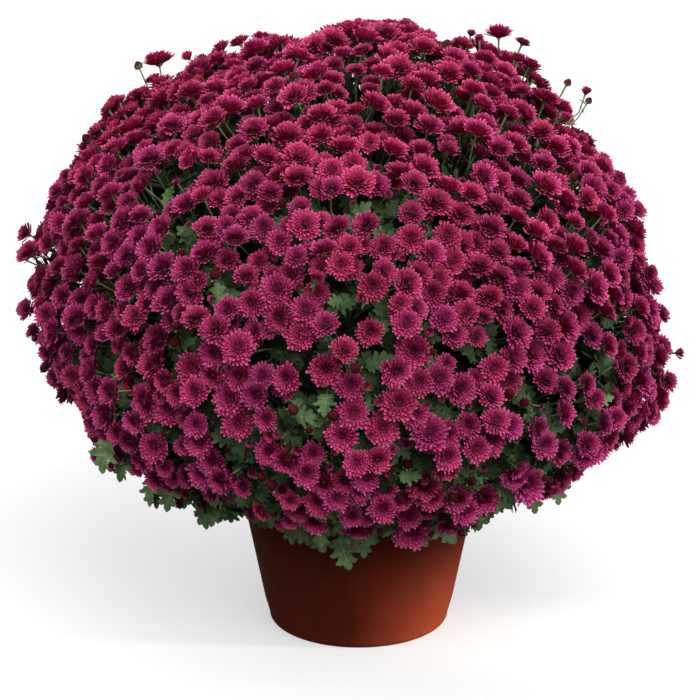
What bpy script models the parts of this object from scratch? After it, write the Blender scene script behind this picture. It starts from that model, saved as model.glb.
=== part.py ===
"""Pot chrysanthemum: a mound of double blooms on leafy sprays that rise from one crown in a round pot.

Metres, +Z up, origin at the centre of the pot's base. Every spray grows inside its own cone,
whose point is the fork at the top of the crown, so neighbouring sprays never cross.
"""
import math
import random

import bmesh
import bpy
from mathutils import Vector, noise
from mathutils.geometry import delaunay_2d_cdt

# Pot
POT_HEIGHT = 0.205
POT_BASE_RADIUS = 0.110
POT_FLARE = 0.198           # gain in radius for each metre of height
POT_WALL = 0.003
POT_FLOOR = 0.004
POT_FOOT_ROUND = 0.007
RIM_DEPTH = 0.024
RIM_PROUD = 0.0025
RIM_ROUND = 0.002
POT_SIDES = 32
SOIL_SIDES = 16
DRAIN_HOLES = 4
DRAIN_HOLE_RADIUS = 0.005
DRAIN_CIRCLE_RADIUS = 0.070

# Soil and crown
SOIL_TOP = 0.182
SOIL_RISE = 0.004           # towards the trunk
SOIL_INSET = 0.003
TOUCH_GAP = 0.0003          # between pieces that touch
FORK = Vector((0.0, 0.0, 0.25))
CROWN_RADIUS = 0.018
TRUNK_RADIUS = 0.0105
TRUNK_SIDES = 10
TRUNK_FOOT = 0.120

# Mound of blooms: two half ellipsoids, squared off a little, that share one tilted equator
MOUND_CENTRE = Vector((-0.017, 0.0, 0.380))
MOUND_RADIUS = 0.380
MOUND_RISE = 0.345
MOUND_DROP = 0.262
MOUND_SQUARENESS_ABOVE = 1.95
MOUND_SQUARENESS_BELOW = 1.9
MOUND_TILT = math.radians(7.5)
LUMP = 0.028                # the most that a lump of the mound stands out
LUMP_COUNT = 2.6            # lumps across a radian
LUMP_PATTERN = Vector((14.4, 7.9, 5.8))
CLUMP_DROP = 0.008          # how far each spray's edge lies below its middle
CLUMP_EDGE = 0.06           # 1 - cosine of the angle from a spray's axis to its edge
CLUMP_LIFT = 0.006          # how far a whole spray may stand proud or lie back

# Sprays: (elevation seen from the fork in degrees, sprays in that ring)
RINGS = ((90.0, 1), (64.0, 5), (38.0, 9), (10.0, 9))
RING_WANDER = 3.0
SKIRT_ELEVATION = math.radians(-12.0)
SHORTEST_CELL_EDGE = 0.025
SEED = 11

# Blooms
AREA_PER_BLOOM = 0.0031
FEWEST_BLOOMS = 4           # on a spray
BLOOM_RADIUS = 0.030
PETAL_REACH = 0.036         # where a bloom has room for longer petals
PETALS = 5
BLOOM_STAND = 0.012         # from the spray's head to the petals' tips
EYE_STAND = 0.013
PLACE_WANDER = 0.4          # radians, before the blooms settle
SETTLING_ROUNDS = 120
PUSH_REACH = 1.25           # how far a bloom pushes others away, in mean bloom spacings
PUSH = 0.22                 # share of the lacking distance that it moves them in a round
BLOOM_LIFT = 0.006          # how far a bloom may stand above its neighbours
NOTCH_SHARE = 0.76          # where the petals part, as a share of the bloom's radius
PETAL_CLEAR = 0.0008
LOWEST_TIP = 0.0035         # how far petal tips stay above the head between the blooms
NOTCH_CLEAR = 0.001
HEAD_THICKNESS = 0.009
HEAD_MARGIN = 0.0008
SHORTEST_RIM_EDGE = 0.006
RIM_STEP = 0.080
BLOOM_SPREAD = (0.92, 1.0)   # range of the blooms' sizes
UPWARD = 0.35               # how much blooms turn up to the light
OUTWARD = 0.6               # how much they turn away from the fork

# Stems and leaves
STEM_RADIUS = 0.0036
STEM_BOW = 0.012            # how far a stem bends aside
BOW_SHARE = 0.3             # where it does, as a share of the spray's length
STEM_FLARE = 1.2            # how much thicker a stem is where it spreads
STEM_JOINT = 0.70           # where a stem spreads into the spray's head, as a share of its length
LOW_STEM_JOINT = 0.38
LEAF_WIDTH = 0.034
LEAF_RIB = 0.0014           # thickness at the rib
LEAF_DROOP = 0.35
LEAF_ROOT_INSET = 0.032
LEAF_ROOT_DEPTH = 0.035
LEAF_NECK_DEPTH = 0.0275
LEAF_PROUD = 0.004
CORNER_CUT = 0.026
CORNER_LEAVES = 3           # on each spray
CORNER_SHARE = 0.8          # how far such a leaf reaches towards its corner
SKIRT_LEAVES = 5            # on each low spray
SKIRT_LEAF_LENGTH = 0.064
SKIRT_LEAF_SPREAD = (0.75, 1.2)
SKIRT_LEAF_WIDTH = 0.052
SKIRT_LEAF_DEPTH = 0.0275   # below the blooms, where a leaf passes their lower edge
SKIRT_STEP = 0.016          # every second leaf hangs this much further in
SKIRT_STALK = 0.5           # the stalk's share of the way to the heart that the leaves spread from
SKIRT_HEART = 0.52          # that heart's share of the spray's length
SKIRT_SWING = 0.3
SKIRT_CORNER = 0.05         # sine of the angle that parts the low corners from the others
POT_CLEAR = 0.006

# Colours (linear) and finish
MAGENTA = (0.39, 0.012, 0.13, 1.0)
LEAF_GREEN = (0.045, 0.11, 0.05, 1.0)
BARK = (0.16, 0.12, 0.06, 1.0)
EARTH = (0.035, 0.022, 0.014, 1.0)
TERRACOTTA = (0.30, 0.075, 0.03, 1.0)

UP = Vector((0.0, 0.0, 1.0))


def clear_scene():
    for obj in list(bpy.data.objects):
        bpy.data.objects.remove(obj)


def finish(name, colour, roughness):
    material = bpy.data.materials.new(name)
    material.use_nodes = True
    shader = material.node_tree.nodes["Principled BSDF"]
    shader.inputs["Base Color"].default_value = colour
    shader.inputs["Roughness"].default_value = roughness
    shader.inputs["Metallic"].default_value = 0.0
    return material


def add_object(name, mesh, material, smooth_angle=None):
    obj = bpy.data.objects.new(name, mesh)
    bpy.context.scene.collection.objects.link(obj)
    mesh.materials.append(material)
    if smooth_angle is not None:
        mesh.shade_smooth()
        mesh.set_sharp_from_angle(angle=smooth_angle)
    return obj


def mesh_of(name, points, faces):
    mesh = bpy.data.meshes.new(name)
    mesh.from_pydata([tuple(p) for p in points], [], faces)
    mesh.update()
    return mesh


# Mound and sprays

def mound_frame(vector, way):
    """The vector turned into the tilted mound's own axes, or back out of them where way is -1."""
    turn_cos, turn_sin = math.cos(MOUND_TILT), way * math.sin(MOUND_TILT)
    across = vector.x * turn_cos - vector.z * turn_sin
    height = vector.x * turn_sin + vector.z * turn_cos
    return Vector((across, vector.y, height))


def mound_shape(height):
    """The half of the mound that a height lies in, as (half height, squareness)."""
    if height >= 0:
        return MOUND_RISE, MOUND_SQUARENESS_ABOVE
    return MOUND_DROP, MOUND_SQUARENESS_BELOW


def mound_reach(direction):
    """Distance from the fork to the mound's surface along a direction, by halving."""
    start, step = mound_frame(FORK - MOUND_CENTRE, 1), mound_frame(direction, 1)
    near, far = 0.0, 1.0
    for _ in range(24):
        t = (near + far) / 2
        at = start + step * t
        half_height, power = mound_shape(at.z)
        across = math.hypot(at.x, at.y) / MOUND_RADIUS
        if across ** power + (abs(at.z) / half_height) ** power < 1:
            near = t
        else:
            far = t
    return near


def mound_normal(direction):
    """The mound's outward normal where a direction from the fork meets it."""
    at = mound_frame(FORK + direction * mound_reach(direction) - MOUND_CENTRE, 1)
    half_height, power = mound_shape(at.z)
    across = math.hypot(at.x, at.y) ** (power - 2) / MOUND_RADIUS ** power
    upward = math.copysign(abs(at.z) ** (power - 1) / half_height ** power, at.z)
    return mound_frame(Vector((at.x * across, at.y * across, upward)), -1).normalized()


def clipped(polygon, normal, offset):
    """The part of a convex polygon where normal . point >= offset."""
    kept = []
    for i, here in enumerate(polygon):
        after = polygon[(i + 1) % len(polygon)]
        h, a = normal.dot(here) - offset, normal.dot(after) - offset
        if h >= 0:
            kept.append(here)
        if (h >= 0) != (a >= 0):
            kept.append(here.lerp(after, h / (h - a)))
    return kept


def without_short_edges(polygon, shortest):
    kept = []
    for point in polygon:
        if not kept or (point - kept[-1]).length > shortest:
            kept.append(point)
    if (kept[0] - kept[-1]).length <= shortest:
        kept.pop()
    return kept


class Spray:
    """One leafy stem and its head of blooms. Its chart is the plane at right angles to its axis."""

    def __init__(self, name, axis, is_low, rng):
        self.name = name
        self.axis = axis
        self.is_low = is_low
        side = UP if abs(axis.z) < 0.9 else Vector((0.0, 1.0, 0.0))
        self.right = side.cross(axis).normalized()
        self.up = axis.cross(self.right)
        self.size = mound_reach(axis)
        self.rng = random.Random(SEED * 100 + int(name))
        self.lift = rng.uniform(-CLUMP_LIFT, CLUMP_LIFT)
        self.walls = []
        self.cell = []

    def direction(self, q):
        return (self.axis * self.size + self.right * q.x + self.up * q.y).normalized()

    def chart(self, point):
        d = point - FORK
        w = self.size / d.dot(self.axis)
        return Vector((d.dot(self.right) * w, d.dot(self.up) * w))

    def reach(self, direction):
        edge = min(1.0, (1 - direction.dot(self.axis)) / CLUMP_EDGE)
        lump = LUMP * noise.noise(direction * LUMP_COUNT + LUMP_PATTERN)
        return mound_reach(direction) + lump + self.lift - CLUMP_DROP * edge

    def surface(self, q, depth=0.0):
        d = self.direction(q)
        return FORK + d * (self.reach(d) - depth)

    def scale(self, q):
        """Real length on the mound for each metre on the chart."""
        d = self.direction(q)
        return self.reach(d) * d.dot(self.axis) / self.size

    def bound(self, others):
        """The spray's cell: the directions nearer to its own axis than to any other."""
        half = self.size * 1.1
        cell = [Vector(c) * half for c in ((-1, -1), (1, -1), (1, 1), (-1, 1))]
        for other in others:
            normal = (self.axis - other.axis).normalized()
            self.walls.append(normal)
            flat = Vector((normal.dot(self.right), normal.dot(self.up)))
            cell = clipped(cell, flat, -normal.dot(self.axis) * self.size)
        if self.is_low:
            outward = Vector((self.axis.x, self.axis.y, 0.0)).normalized()
            normal = UP * math.cos(SKIRT_ELEVATION) - outward * math.sin(SKIRT_ELEVATION)
            self.skirt = normal
            flat = Vector((normal.dot(self.right), normal.dot(self.up)))
            cell = clipped(cell, flat, -normal.dot(self.axis) * self.size)
        self.cell = without_short_edges(cell, SHORTEST_CELL_EDGE)

    def chamfered(self, cut):
        """The cell with each corner cut off by a real length."""
        found = []
        for i, corner in enumerate(self.cell):
            length = cut / self.scale(corner)
            for beside in (self.cell[i - 1], self.cell[(i + 1) % len(self.cell)]):
                side = beside - corner
                found.append(corner + side.normalized() * min(length, 0.45 * side.length))
        return found

    def inset(self, polygon, margin):
        """The convex polygon moved inwards by a real margin."""
        moved = polygon
        for i, here in enumerate(polygon):
            after = polygon[(i + 1) % len(polygon)]
            side = (after - here).normalized()
            inward = Vector((-side.y, side.x))
            moved = clipped(moved, inward, inward.dot(here) + margin / self.scale((here + after) / 2))
        return without_short_edges(moved, SHORTEST_RIM_EDGE)

    def stepped(self, polygon, step):
        """The polygon with points added, so that its edges follow the mound's curve."""
        found = []
        for i, here in enumerate(polygon):
            after = polygon[(i + 1) % len(polygon)]
            parts = max(1, math.ceil((after - here).length / step - 0.2))
            found += [here.lerp(after, k / parts) for k in range(parts)]
        return found

    def planes(self, polygon):
        """Planes through the fork and the polygon's edges, with their normals pointing inwards."""
        rays = [self.direction(q) for q in polygon]
        return [rays[i].cross(rays[(i + 1) % len(rays)]).normalized() for i in range(len(rays))]

    def area(self):
        middle = sum(self.cell, Vector((0.0, 0.0))) / len(self.cell)
        total = 0.0
        for i, here in enumerate(self.cell):
            after = self.cell[(i + 1) % len(self.cell)]
            part = (here + after + middle) / 3
            flat = abs((here - middle).cross(after - middle)) / 2
            d = self.direction(part)
            total += flat * self.scale(part) ** 2 / max(0.5, mound_normal(d).dot(d))
        return total


def make_sprays():
    rng = random.Random(SEED)
    sprays = []
    for ring, (elevation, count) in enumerate(RINGS):
        start = rng.uniform(0, 2 * math.pi)
        for i in range(count):
            wander = RING_WANDER if count > 1 else 0.0
            azimuth = start + 2 * math.pi * i / count + math.radians(rng.uniform(-wander, wander))
            rise = math.radians(elevation + rng.uniform(-wander, wander))
            level = Vector((math.cos(azimuth), math.sin(azimuth), 0.0))
            axis = (level * math.cos(rise) + UP * math.sin(rise)).normalized()
            is_low = ring == len(RINGS) - 1
            sprays.append(Spray(f"{len(sprays) + 1:02d}", axis, is_low, rng))
    for spray in sprays:
        spray.bound([other for other in sprays if other is not spray])
    return sprays


def settle_blooms(spray, planes):
    """Places a spray's blooms evenly by letting them push each other apart between its planes."""
    keep_off = HEAD_MARGIN + BLOOM_RADIUS * NOTCH_SHARE + NOTCH_CLEAR
    count = max(FEWEST_BLOOMS, round(spray.area() / AREA_PER_BLOOM))
    spread = math.sqrt(AREA_PER_BLOOM / 0.866)
    middle = sum(spray.cell, Vector((0.0, 0.0))) / len(spray.cell)
    golden = math.pi * (3 - math.sqrt(5))
    pushing = PUSH_REACH * spread
    points = []
    for i in range(count):
        out = spread * 0.5 * math.sqrt(i + 0.5)
        turn = golden * i + spray.rng.uniform(-PLACE_WANDER, PLACE_WANDER)
        points.append(spray.surface(middle + Vector((math.cos(turn), math.sin(turn))) * out))
    for _ in range(SETTLING_ROUNDS):
        moved = []
        for i, here in enumerate(points):
            push = Vector((0.0, 0.0, 0.0))
            for j, other in enumerate(points):
                gap = here - other
                if i != j and gap.length < pushing:
                    push += gap.normalized() * (pushing - gap.length) * PUSH
            there = here + push
            for plane in planes:
                lacking = keep_off - (there - FORK).dot(plane)
                if lacking > 0:
                    there += plane * lacking
            moved.append(spray.surface(spray.chart(there)))
        points = moved
    return points


def place_blooms(spray, planes):
    places = settle_blooms(spray, planes)
    blooms = []
    for i, place in enumerate(places):
        nearest = min((place - other).length for j, other in enumerate(places) if j != i)
        q = spray.chart(place)
        d = spray.direction(q)
        facing = (mound_normal(d) + UP * UPWARD).normalized()
        facing = (facing + d * OUTWARD).normalized()
        lift = spray.rng.uniform(0.0, BLOOM_LIFT)
        blooms.append({
            "q": q,
            "lift": lift,
            "foot": spray.surface(q, BLOOM_STAND - lift),
            "facing": facing,
            "radius": min(BLOOM_RADIUS, nearest / 2 - PETAL_CLEAR) * spray.rng.uniform(*BLOOM_SPREAD),
            "turn": spray.rng.uniform(0, 2 * math.pi / PETALS),
        })
    return blooms


# Solids

def level_pair(right, facing):
    """Two directions at right angles to facing and to each other, the first one nearest to right."""
    across = (right - facing * right.dot(facing)).normalized()
    return across, facing.cross(across)


def bloom_faces(spray, bloom, walls, points, ring_start):
    """Adds a bloom's eye and petal tips to points and returns its faces on the ring of notches."""
    facing, turn = bloom["facing"], bloom["turn"]
    across, along = level_pair(spray.right, facing)
    eye = len(points)
    points.append(bloom["foot"] + facing * EYE_STAND)
    for k in range(PETALS):
        angle = turn + 2 * math.pi * k / PETALS
        tip = bloom["foot"] + facing * BLOOM_STAND
        tip += (across * math.cos(angle) + along * math.sin(angle)) * PETAL_REACH
        for normal, offset in walls:
            lacking = offset + PETAL_CLEAR - tip.dot(normal)
            if lacking > 0:
                tip += normal * lacking
        ray = tip - FORK
        d = ray.normalized()
        lowest = spray.reach(d) - BLOOM_STAND + LOWEST_TIP
        if ray.length < lowest:
            tip = FORK + d * lowest
        points.append(tip)
    faces = []
    for k in range(PETALS):
        tip, notch = eye + 1 + k, ring_start + k
        before = ring_start + (k - 1) % PETALS
        faces += [(eye, tip, notch), (eye, before, tip), (tip, before, notch)]
    return faces


def halfway_walls(bloom, blooms):
    """Planes halfway to the blooms around this one, as (normal towards this one, offset)."""
    walls = []
    for other in blooms:
        between = bloom["foot"] - other["foot"]
        if 0 < between.length < 2 * (PETAL_REACH + BLOOM_LIFT):
            normal = between.normalized()
            walls.append((normal, normal.dot(bloom["foot"] + other["foot"]) / 2))
    return walls


def bloom_head(spray, blooms, planes, rim):
    """A spray's blooms, raised from one thin domed head that they share."""
    flat = list(rim)
    loops = [list(range(len(rim)))]
    for bloom in blooms:
        start = len(flat)
        loops.append(list(range(start, start + PETALS)))
        reach = bloom["radius"] * NOTCH_SHARE
        across, along = level_pair(spray.right, mound_normal(spray.direction(bloom["q"])))
        for k in range(PETALS):
            angle = bloom["turn"] + 2 * math.pi * (k + 0.5) / PETALS
            out = across * math.cos(angle) + along * math.sin(angle)
            flat.append(spray.chart(bloom["foot"] + out * reach))
    _, _, faces, from_point, _, from_loop = delaunay_2d_cdt(flat, [], loops, 1, 1e-7)
    original = [ids[0] for ids in from_point]
    points = [spray.surface(q, BLOOM_STAND) for q in rim]
    for bloom in blooms:
        start = len(points)
        for q in flat[start:start + PETALS]:
            points.append(spray.surface(q, BLOOM_STAND - bloom["lift"] * spray.rng.uniform(0.5, 1.0)))
    made = [
        tuple(original[i] for i in face)
        for face, inside in zip(faces, from_loop)
        if set(inside) == {0}
    ]
    for bloom, loop in zip(blooms, loops[1:]):
        walls = [(plane, plane.dot(FORK)) for plane in planes] + halfway_walls(bloom, blooms)
        made += bloom_faces(spray, bloom, walls, points, loop[0])
    under = len(points)
    points += [spray.surface(q, BLOOM_STAND + HEAD_THICKNESS) for q in rim]
    middle = len(points)
    points.append(spray.surface(Vector((0.0, 0.0)), BLOOM_STAND + HEAD_THICKNESS))
    for i in range(len(rim)):
        j = (i + 1) % len(rim)
        made += [(j, i, under + i), (j, under + i, under + j), (middle, under + j, under + i)]
    return mesh_of(f"blooms_{spray.name}", points, made)


def stem_and_head(spray, rim):
    """The stem from the fork, spread into a cone under the head of blooms."""
    depth = BLOOM_STAND + HEAD_THICKNESS + TOUCH_GAP
    reach = spray.reach(spray.axis)
    joint = LOW_STEM_JOINT if spray.is_low else STEM_JOINT
    bow = STEM_BOW if spray.is_low else -STEM_BOW
    rings = (
        (CROWN_RADIUS + TOUCH_GAP, 0.0, STEM_RADIUS),
        (BOW_SHARE * reach, bow, STEM_RADIUS),
        (joint * reach, 0.0, STEM_RADIUS * STEM_FLARE),
    )
    points, faces = [], [(3, 2, 1, 0)]
    for along, shift, radius in rings:
        for k in range(4):
            angle = math.pi / 2 * k
            offset = spray.right * math.cos(angle) + spray.up * math.sin(angle)
            points.append(FORK + spray.axis * along + spray.up * shift + offset * radius)
    for ring in (0, 4):
        for k in range(4):
            m = (k + 1) % 4
            faces.append((ring + k, ring + m, ring + 4 + m, ring + 4 + k))
    last, first_rim = len(points) - 4, len(points)
    points += [spray.surface(q, depth) for q in rim]
    middle = len(points)
    points.append(spray.surface(Vector((0.0, 0.0)), depth))
    corner = [round(math.atan2(q.y, q.x) / (math.pi / 2)) % 4 for q in rim]
    for i in range(len(rim)):
        j = (i + 1) % len(rim)
        faces.append((middle, first_rim + i, first_rim + j))
        faces.append((first_rim + j, first_rim + i, last + corner[i]))
        if corner[i] != corner[j]:
            faces.append((last + corner[i], last + corner[j], first_rim + j))
    return mesh_of(f"leafy_stem_{spray.name}", points, faces)


# A lobed blade as (across, along) shares of its width and length, from the tip down one side to the stalk
LEAF_OUTLINE = ((0.0, 1.0), (0.18, 0.79), (0.42, 0.76), (0.26, 0.50), (0.50, 0.35), (0.07, 0.0))
LEAF_MIDDLE = 0.48


def leaf(root, neck, tip, facing, width, hold):
    """A lobed blade from neck to tip, thickest along its rib, on a stalk from its root.

    hold moves a point to where it is clear of other pieces.
    """
    length = (tip - neck).length
    along = (tip - neck).normalized()
    side = along.cross(facing).normalized()
    face = side.cross(along)

    def blade(x, y):
        point = neck + along * (y * length) + side * (x * width) - face * (LEAF_DROOP * x * x * width)
        return hold(point) if y > 0 else point

    right = [blade(x, y) for x, y in LEAF_OUTLINE]
    left = [blade(-x, y) for x, y in LEAF_OUTLINE[:0:-1]]
    rib = hold(blade(0, LEAF_MIDDLE) + face * LEAF_RIB)
    thick = face * LEAF_RIB
    points = right + left + [rib, rib - thick, neck + thick / 2, neck - thick / 2, root]
    outline = len(right) + len(left)
    rib_top, rib_bottom, neck_top, neck_bottom, foot = range(outline, outline + 5)
    faces = []
    for middle, neck_middle, turn in ((rib_top, neck_top, -1), (rib_bottom, neck_bottom, 1)):
        loop = list(range(len(right))) + [neck_middle] + list(range(len(right), outline))
        for i, here in enumerate(loop):
            pair = (here, loop[(i + 1) % len(loop)])[::turn]
            faces.append((middle, *pair))
        for pair in ((len(right) - 1, neck_middle), (neck_middle, len(right))):
            faces.append((foot, *pair[::-turn]))
    return points, faces


def keeper(walls):
    """A function that moves a point inside every (normal, distance) wall, and clear of the pot."""
    widest = POT_BASE_RADIUS + POT_FLARE * POT_HEIGHT + RIM_PROUD + POT_CLEAR

    def hold(point):
        for normal, distance in walls:
            lacking = distance - (point - FORK).dot(normal)
            if lacking > 0:
                point = point + normal * lacking
        out = math.hypot(point.x, point.y)
        if point.z < POT_HEIGHT + POT_CLEAR and out < widest:
            point = Vector((point.x * widest / out, point.y * widest / out, point.z))
        return point

    return hold


def corner_leaves(spray, edge):
    """Leaves that come out from under the head at its widest corners and stand up between the sprays."""
    room = []
    for i, corner in enumerate(spray.cell):
        cut = (edge[2 * i] + edge[2 * i + 1]) / 2
        if not (spray.is_low and spray.direction(corner).dot(spray.skirt) < SKIRT_CORNER):
            outward = spray.direction(edge[2 * i + 1]).cross(spray.direction(edge[2 * i])).normalized()
            room.append(((corner - cut).length, corner, cut, outward))
    found = []
    for _, corner, cut, outward in sorted(room, key=lambda r: -r[0])[:CORNER_LEAVES]:
        hold = keeper([(wall, PETAL_CLEAR) for wall in spray.walls + [outward]])
        inward = (cut - corner).normalized() / spray.scale(cut)
        root = spray.surface(cut + inward * LEAF_ROOT_INSET, LEAF_ROOT_DEPTH)
        neck = spray.surface(cut + inward * HEAD_MARGIN, LEAF_NECK_DEPTH)
        tip = spray.surface(cut.lerp(corner, CORNER_SHARE), -LEAF_PROUD)
        found.append(leaf(root, neck, tip, spray.direction(corner), LEAF_WIDTH, hold))
    return found


def skirt_leaves(spray):
    """Leaves that hang from under the lower edge of a low spray, over the pot's rim."""
    hold = keeper([(wall, PETAL_CLEAR) for wall in spray.walls + [-spray.skirt]])
    low = sorted(spray.cell, key=lambda q: spray.direction(q).dot(spray.skirt))[:2]
    left, right = sorted(low, key=lambda q: q.x)
    heart = FORK + spray.axis * (SKIRT_HEART * spray.reach(spray.axis))
    found = []
    for k in range(SKIRT_LEAVES):
        edge = left.lerp(right, (k + 0.5) / SKIRT_LEAVES)
        neck = spray.surface(edge, SKIRT_LEAF_DEPTH + SKIRT_STEP * (k % 2))
        root = neck.lerp(heart, SKIRT_STALK)
        outward = Vector((neck.x, neck.y, 0.0)).normalized()
        swing = outward.cross(UP) * spray.rng.uniform(-SKIRT_SWING, SKIRT_SWING)
        leaning = outward * spray.rng.uniform(-SKIRT_SWING, SKIRT_SWING)
        hanging = (swing + leaning - UP).normalized()
        tip = neck + hanging * (SKIRT_LEAF_LENGTH * spray.rng.uniform(*SKIRT_LEAF_SPREAD))
        found.append(leaf(root, neck, tip, outward, SKIRT_LEAF_WIDTH, hold))
    return found


def fused(obj, additions):
    """Joins loose solids to an object with one Boolean union."""
    helpers = bpy.data.collections.new("leaves")
    bpy.context.scene.collection.children.link(helpers)
    for points, faces in additions:
        helpers.objects.link(bpy.data.objects.new("leaf", mesh_of("leaf", points, faces)))
    union = obj.modifiers.new("leaves", "BOOLEAN")
    union.operation = "UNION"
    union.operand_type = "COLLECTION"
    union.collection = helpers
    graph = bpy.context.evaluated_depsgraph_get()
    joined = bpy.data.meshes.new_from_object(obj.evaluated_get(graph))
    obj.modifiers.clear()
    obj.data = joined
    for helper in list(helpers.objects):
        bpy.data.objects.remove(helper)
    bpy.data.collections.remove(helpers)


def spray_nodes(spray, petal_finish, leaf_finish):
    edge = spray.chamfered(CORNER_CUT)
    planes = spray.planes(edge)
    rim = spray.stepped(spray.inset(edge, HEAD_MARGIN), RIM_STEP)
    blooms = place_blooms(spray, planes)
    add_object(f"blooms_{spray.name}", bloom_head(spray, blooms, planes, rim), petal_finish)
    stem = add_object(f"leafy_stem_{spray.name}", stem_and_head(spray, rim), leaf_finish)
    leaves = corner_leaves(spray, edge)
    if spray.is_low:
        leaves += skirt_leaves(spray)
    fused(stem, leaves)


def turned(name, profile, sides):
    """A solid of revolution from a profile of (radius, height) that starts and ends on the axis."""
    mesh = bmesh.new()
    rows = []
    for radius, height in profile:
        if radius == 0:
            rows.append([mesh.verts.new((0, 0, height))])
            continue
        turns = [2 * math.pi * (k + 0.5) / sides for k in range(sides)]
        ring = [(radius * math.cos(turn), radius * math.sin(turn), height) for turn in turns]
        rows.append([mesh.verts.new(point) for point in ring])
    for here, after in zip(rows, rows[1:]):
        for k in range(sides):
            m = (k + 1) % sides
            if len(here) == 1:
                mesh.faces.new((here[0], after[m], after[k]))
            elif len(after) == 1:
                mesh.faces.new((here[k], here[m], after[0]))
            else:
                mesh.faces.new((here[k], here[m], after[m], after[k]))
    data = bpy.data.meshes.new(name)
    mesh.to_mesh(data)
    mesh.free()
    return data


def pot_radius(height):
    return POT_BASE_RADIUS + POT_FLARE * height


def make_pot(material):
    rim_foot = POT_HEIGHT - RIM_DEPTH
    foot_middle = 1 - math.cos(math.pi / 4)
    profile = [
        (0, 0),
        (POT_BASE_RADIUS - POT_FOOT_ROUND, 0),
        (POT_BASE_RADIUS - foot_middle * POT_FOOT_ROUND, foot_middle * POT_FOOT_ROUND),
        (pot_radius(POT_FOOT_ROUND), POT_FOOT_ROUND),
        (pot_radius(rim_foot), rim_foot),
        (pot_radius(rim_foot) + RIM_PROUD, rim_foot + RIM_ROUND),
        (pot_radius(POT_HEIGHT) + RIM_PROUD, POT_HEIGHT - RIM_ROUND),
        (pot_radius(POT_HEIGHT) + RIM_PROUD - RIM_ROUND, POT_HEIGHT),
        (pot_radius(POT_HEIGHT) - POT_WALL, POT_HEIGHT),
        (pot_radius(POT_FLOOR) - POT_WALL, POT_FLOOR),
        (0, POT_FLOOR),
    ]
    pot = add_object("pot", turned("pot", profile, POT_SIDES), material, math.radians(30))
    for i in range(DRAIN_HOLES):
        angle = 2 * math.pi * i / DRAIN_HOLES
        at = (DRAIN_CIRCLE_RADIUS * math.cos(angle), DRAIN_CIRCLE_RADIUS * math.sin(angle), 0)
        bpy.ops.mesh.primitive_cylinder_add(
            vertices=8, radius=DRAIN_HOLE_RADIUS, depth=4 * POT_FLOOR, location=at
        )
        cutter = bpy.context.object
        cutter.name = f"drain_cutter_{i}"
        cutter.hide_render = True
        cutter.display_type = "WIRE"
        drain = pot.modifiers.new(f"drain_{i}", "BOOLEAN")
        drain.operation = "DIFFERENCE"
        drain.object = cutter


def make_soil(material):
    bottom = POT_FLOOR + TOUCH_GAP
    inset = POT_WALL + TOUCH_GAP + SOIL_INSET
    profile = [
        (0, bottom),
        (pot_radius(bottom) - inset, bottom),
        (pot_radius(SOIL_TOP) - inset, SOIL_TOP),
        (TRUNK_RADIUS + TOUCH_GAP, SOIL_TOP + SOIL_RISE),
        (TRUNK_RADIUS + TOUCH_GAP, TRUNK_FOOT - TOUCH_GAP),
        (0, TRUNK_FOOT - TOUCH_GAP),
    ]
    add_object("soil", turned("soil", profile, SOIL_SIDES), material)


def make_crown(sprays, material):
    """The woody crown: a knuckle with a flat seat for each stem, on a trunk that stands in the soil."""
    mesh = bmesh.new()
    for spray in sprays:
        for k in range(4):
            angle = math.pi / 2 * k
            offset = (spray.right * math.cos(angle) + spray.up * math.sin(angle)) * STEM_RADIUS
            mesh.verts.new(FORK + spray.axis * CROWN_RADIUS + offset)
    neck = FORK.z - CROWN_RADIUS
    trunk = TRUNK_RADIUS - TOUCH_GAP
    for k in range(TRUNK_SIDES):
        angle = 2 * math.pi * k / TRUNK_SIDES
        mesh.verts.new((trunk * math.cos(angle), trunk * math.sin(angle), neck))
    bmesh.ops.convex_hull(mesh, input=mesh.verts)
    bmesh.ops.dissolve_limit(mesh, angle_limit=0.001, verts=mesh.verts, edges=mesh.edges)
    under = [f for f in mesh.faces if f.normal.z < -0.999 and f.calc_center_median().z < neck + TOUCH_GAP]
    grown = bmesh.ops.extrude_face_region(mesh, geom=under)
    bmesh.ops.delete(mesh, geom=under, context="FACES")
    for grown_part in grown["geom"]:
        if isinstance(grown_part, bmesh.types.BMVert):
            grown_part.co.z = TRUNK_FOOT
    data = bpy.data.meshes.new("crown")
    bmesh.ops.recalc_face_normals(mesh, faces=mesh.faces)
    mesh.to_mesh(data)
    mesh.free()
    add_object("crown", data, material)


def main():
    clear_scene()
    petal_finish = finish("petals", MAGENTA, 0.6)
    leaf_finish = finish("leaves", LEAF_GREEN, 0.6)
    sprays = make_sprays()
    make_pot(finish("pot_plastic", TERRACOTTA, 0.5))
    make_soil(finish("potting_soil", EARTH, 0.95))
    make_crown(sprays, finish("bark", BARK, 0.8))
    for spray in sprays:
        spray_nodes(spray, petal_finish, leaf_finish)


main()
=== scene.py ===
"""The pot chrysanthemum as photographed: the blooms, buds, leaves and stems of its mound, and its pot."""
import math
import random

import bmesh
import bpy
import numpy as np
from mathutils import Matrix, Vector, noise


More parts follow.
